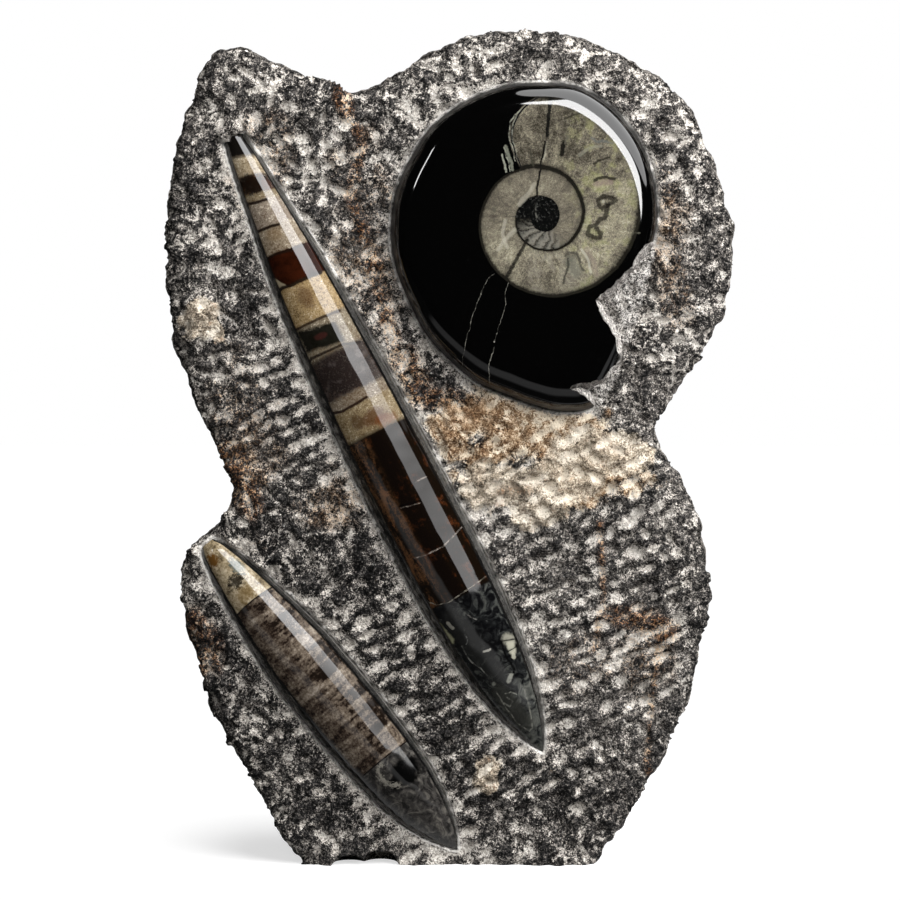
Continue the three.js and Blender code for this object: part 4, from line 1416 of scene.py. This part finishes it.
def fade_light(light, stops):
    """Makes an area light's glow change from its lower edge, place 0, to its upper one, place 1."""
    light.data.use_nodes = True
    tree = Nodes(light.data.node_tree)
    brightest = max(strength for _, strength in stops)
    height = tree.axes(tree.add("ShaderNodeNewGeometry", "Parametric"))[1]
    glow = tree.ramp(height, [(place, grey(strength / brightest)) for place, strength in stops])
    tree.set(tree.nodes["Emission"].inputs["Strength"], glow * brightest)


def shown_in(light, pieces):
    """Limits a light to the pieces that it lights or in whose polish it shows."""
    receivers = bpy.data.collections.new(light.name + "_receivers")
    for piece in pieces:
        receivers.objects.link(piece)
    light.light_linking.receiver_collection = receivers


def make_lights(slab, shells, disc):
    middle = (0, 0, 0.2)
    disc_middle = (0.046, 0, 0.306)
    soft_light("key_light", (0.6, -1.0, 0.8), middle, (0.62, 1.15), 19.5, roll=27)
    soft_light("right_side_light", (1.0, -0.4, 0.95), middle, (0.6, 0.8), 16)
    soft_light("front_fill", (-0.5, -1.3, 1.0), middle, (0.9, 0.6), 6)
    soft_light("top_light", (0.1, -0.35, 1.6), (0, 0, 0.1), (1.2, 0.5), 20)

    back = soft_light("back_fill", (-0.5, 1.5, 0.9), middle, (1.4, 1.0), 16)
    shown_in(back, shells + [disc, slab])

    # Panels that only show in the polish
    softbox = soft_light(
        "softbox_in_shells", (0.546, -0.998, 0.848), (0.12, 0.082, 0.264), (0.94, 1.15), 14.4, 27, "glossy",
    )
    fade_light(softbox, [(0, 1.0), (0.17, 0.6), (0.33, 1.3), (0.5, 2.2), (1, 2.2)])
    shown_in(softbox, shells)
    panel = soft_light("panel_in_shells", (0.665, -0.37, 1.27), disc_middle, (1.4, 1.4), 3, 0, "glossy")
    panel.data.shape = "ELLIPSE"
    shown_in(panel, shells)
    softbox = soft_light(
        "softbox_in_disc", (0.435, -1.168, 0.723), disc_middle, (0.39, 0.86), 21, 47, "glossy",
    )
    shown_in(softbox, [disc])
    panel = soft_light("panel_in_disc", (0.707, -0.331, 1.251), disc_middle, (2.0, 2.0), 50, 0, "glossy")
    panel.data.shape = "ELLIPSE"
    shown_in(panel, [disc])
    soft_light("spot_in_polish", (-0.84, -1.15, 0.79), middle, (0.1, 0.28), 1.7, 0, "glossy")


def make_world():
    """A white studio, dimmer for what the polished stone reflects than for the camera."""
    world = bpy.data.worlds.new("studio")
    bpy.context.scene.world = world
    world.use_nodes = True
    tree = Nodes(world.node_tree)
    dim = tree.add("ShaderNodeBackground", 0, {"Color": grey(1), "Strength": 0.015})
    white = tree.add("ShaderNodeBackground", 0, {"Color": grey(1), "Strength": 1})
    seen = tree.add("ShaderNodeLightPath", "Is Camera Ray")
    mixed = tree.add("ShaderNodeMixShader", 0, {0: seen, 1: dim, 2: white})
    tree.set(tree.nodes["World Output"].inputs["Surface"], mixed)


def make_floor():
    """A white table, which ends a little in front of the slab."""
    side, front, back = 2.5, -0.58, 5
    mesh = bpy.data.meshes.new("floor")
    corners = [(-side, front, 0), (side, front, 0), (side, back, 0), (-side, back, 0)]
    mesh.from_pydata(corners, [], [(0, 1, 2, 3)])
    floor = bpy.data.objects.new("floor", mesh)
    bpy.context.scene.collection.objects.link(floor)
    s = Shader("pale_floor")
    x, depth, _ = s.axes(s.place())
    # Only the part behind the front edge takes light and shade, and a strip in front shows in the polish.
    # The rest is white by itself
    lit = s.step(depth, -60, -10) * s.step(depth, 700, 150) * s.step(x, -165, -95) * s.step(x, 800, 500)
    strip = s.step(depth, -600, -480) * s.step(depth, -190, -290) * s.step(x, -520, -380)
    pale = s.mix(grey(0.02), grey(0.5), lit.math("MAXIMUM", strip * 0.45))
    seen = s.add("ShaderNodeLightPath", "Is Camera Ray")
    s.set(s.principled.inputs["Emission Color"], grey(1))
    s.set(s.principled.inputs["Emission Strength"], seen * (1.02 - lit * 0.4))
    mesh.materials.append(s.finish(pale, 0.9, Specular_IOR_Level=0.0))


# Assembly

def place_piece(obj, material, node):
    obj.data.materials.append(material)
    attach(obj, "root")
    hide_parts(node)


slab = build_slab()
long_shell = build_shell("long_orthoceras_polished", LONG_SHELL, 31)
short_shell = build_shell("short_orthoceras_polished", SHORT_SHELL, 47)
disc = build_disc()
place_piece(slab, stone_material(), "stone_slab")
place_piece(long_shell, long_material(), "long_orthoceras")
place_piece(short_shell, short_material(), "short_orthoceras")
place_piece(disc, goniatite_material(), "goniatite")

make_camera()
make_lights(slab, [long_shell, short_shell], disc)
make_world()
make_floor()
bpy.context.scene.view_settings.view_transform = "Standard"
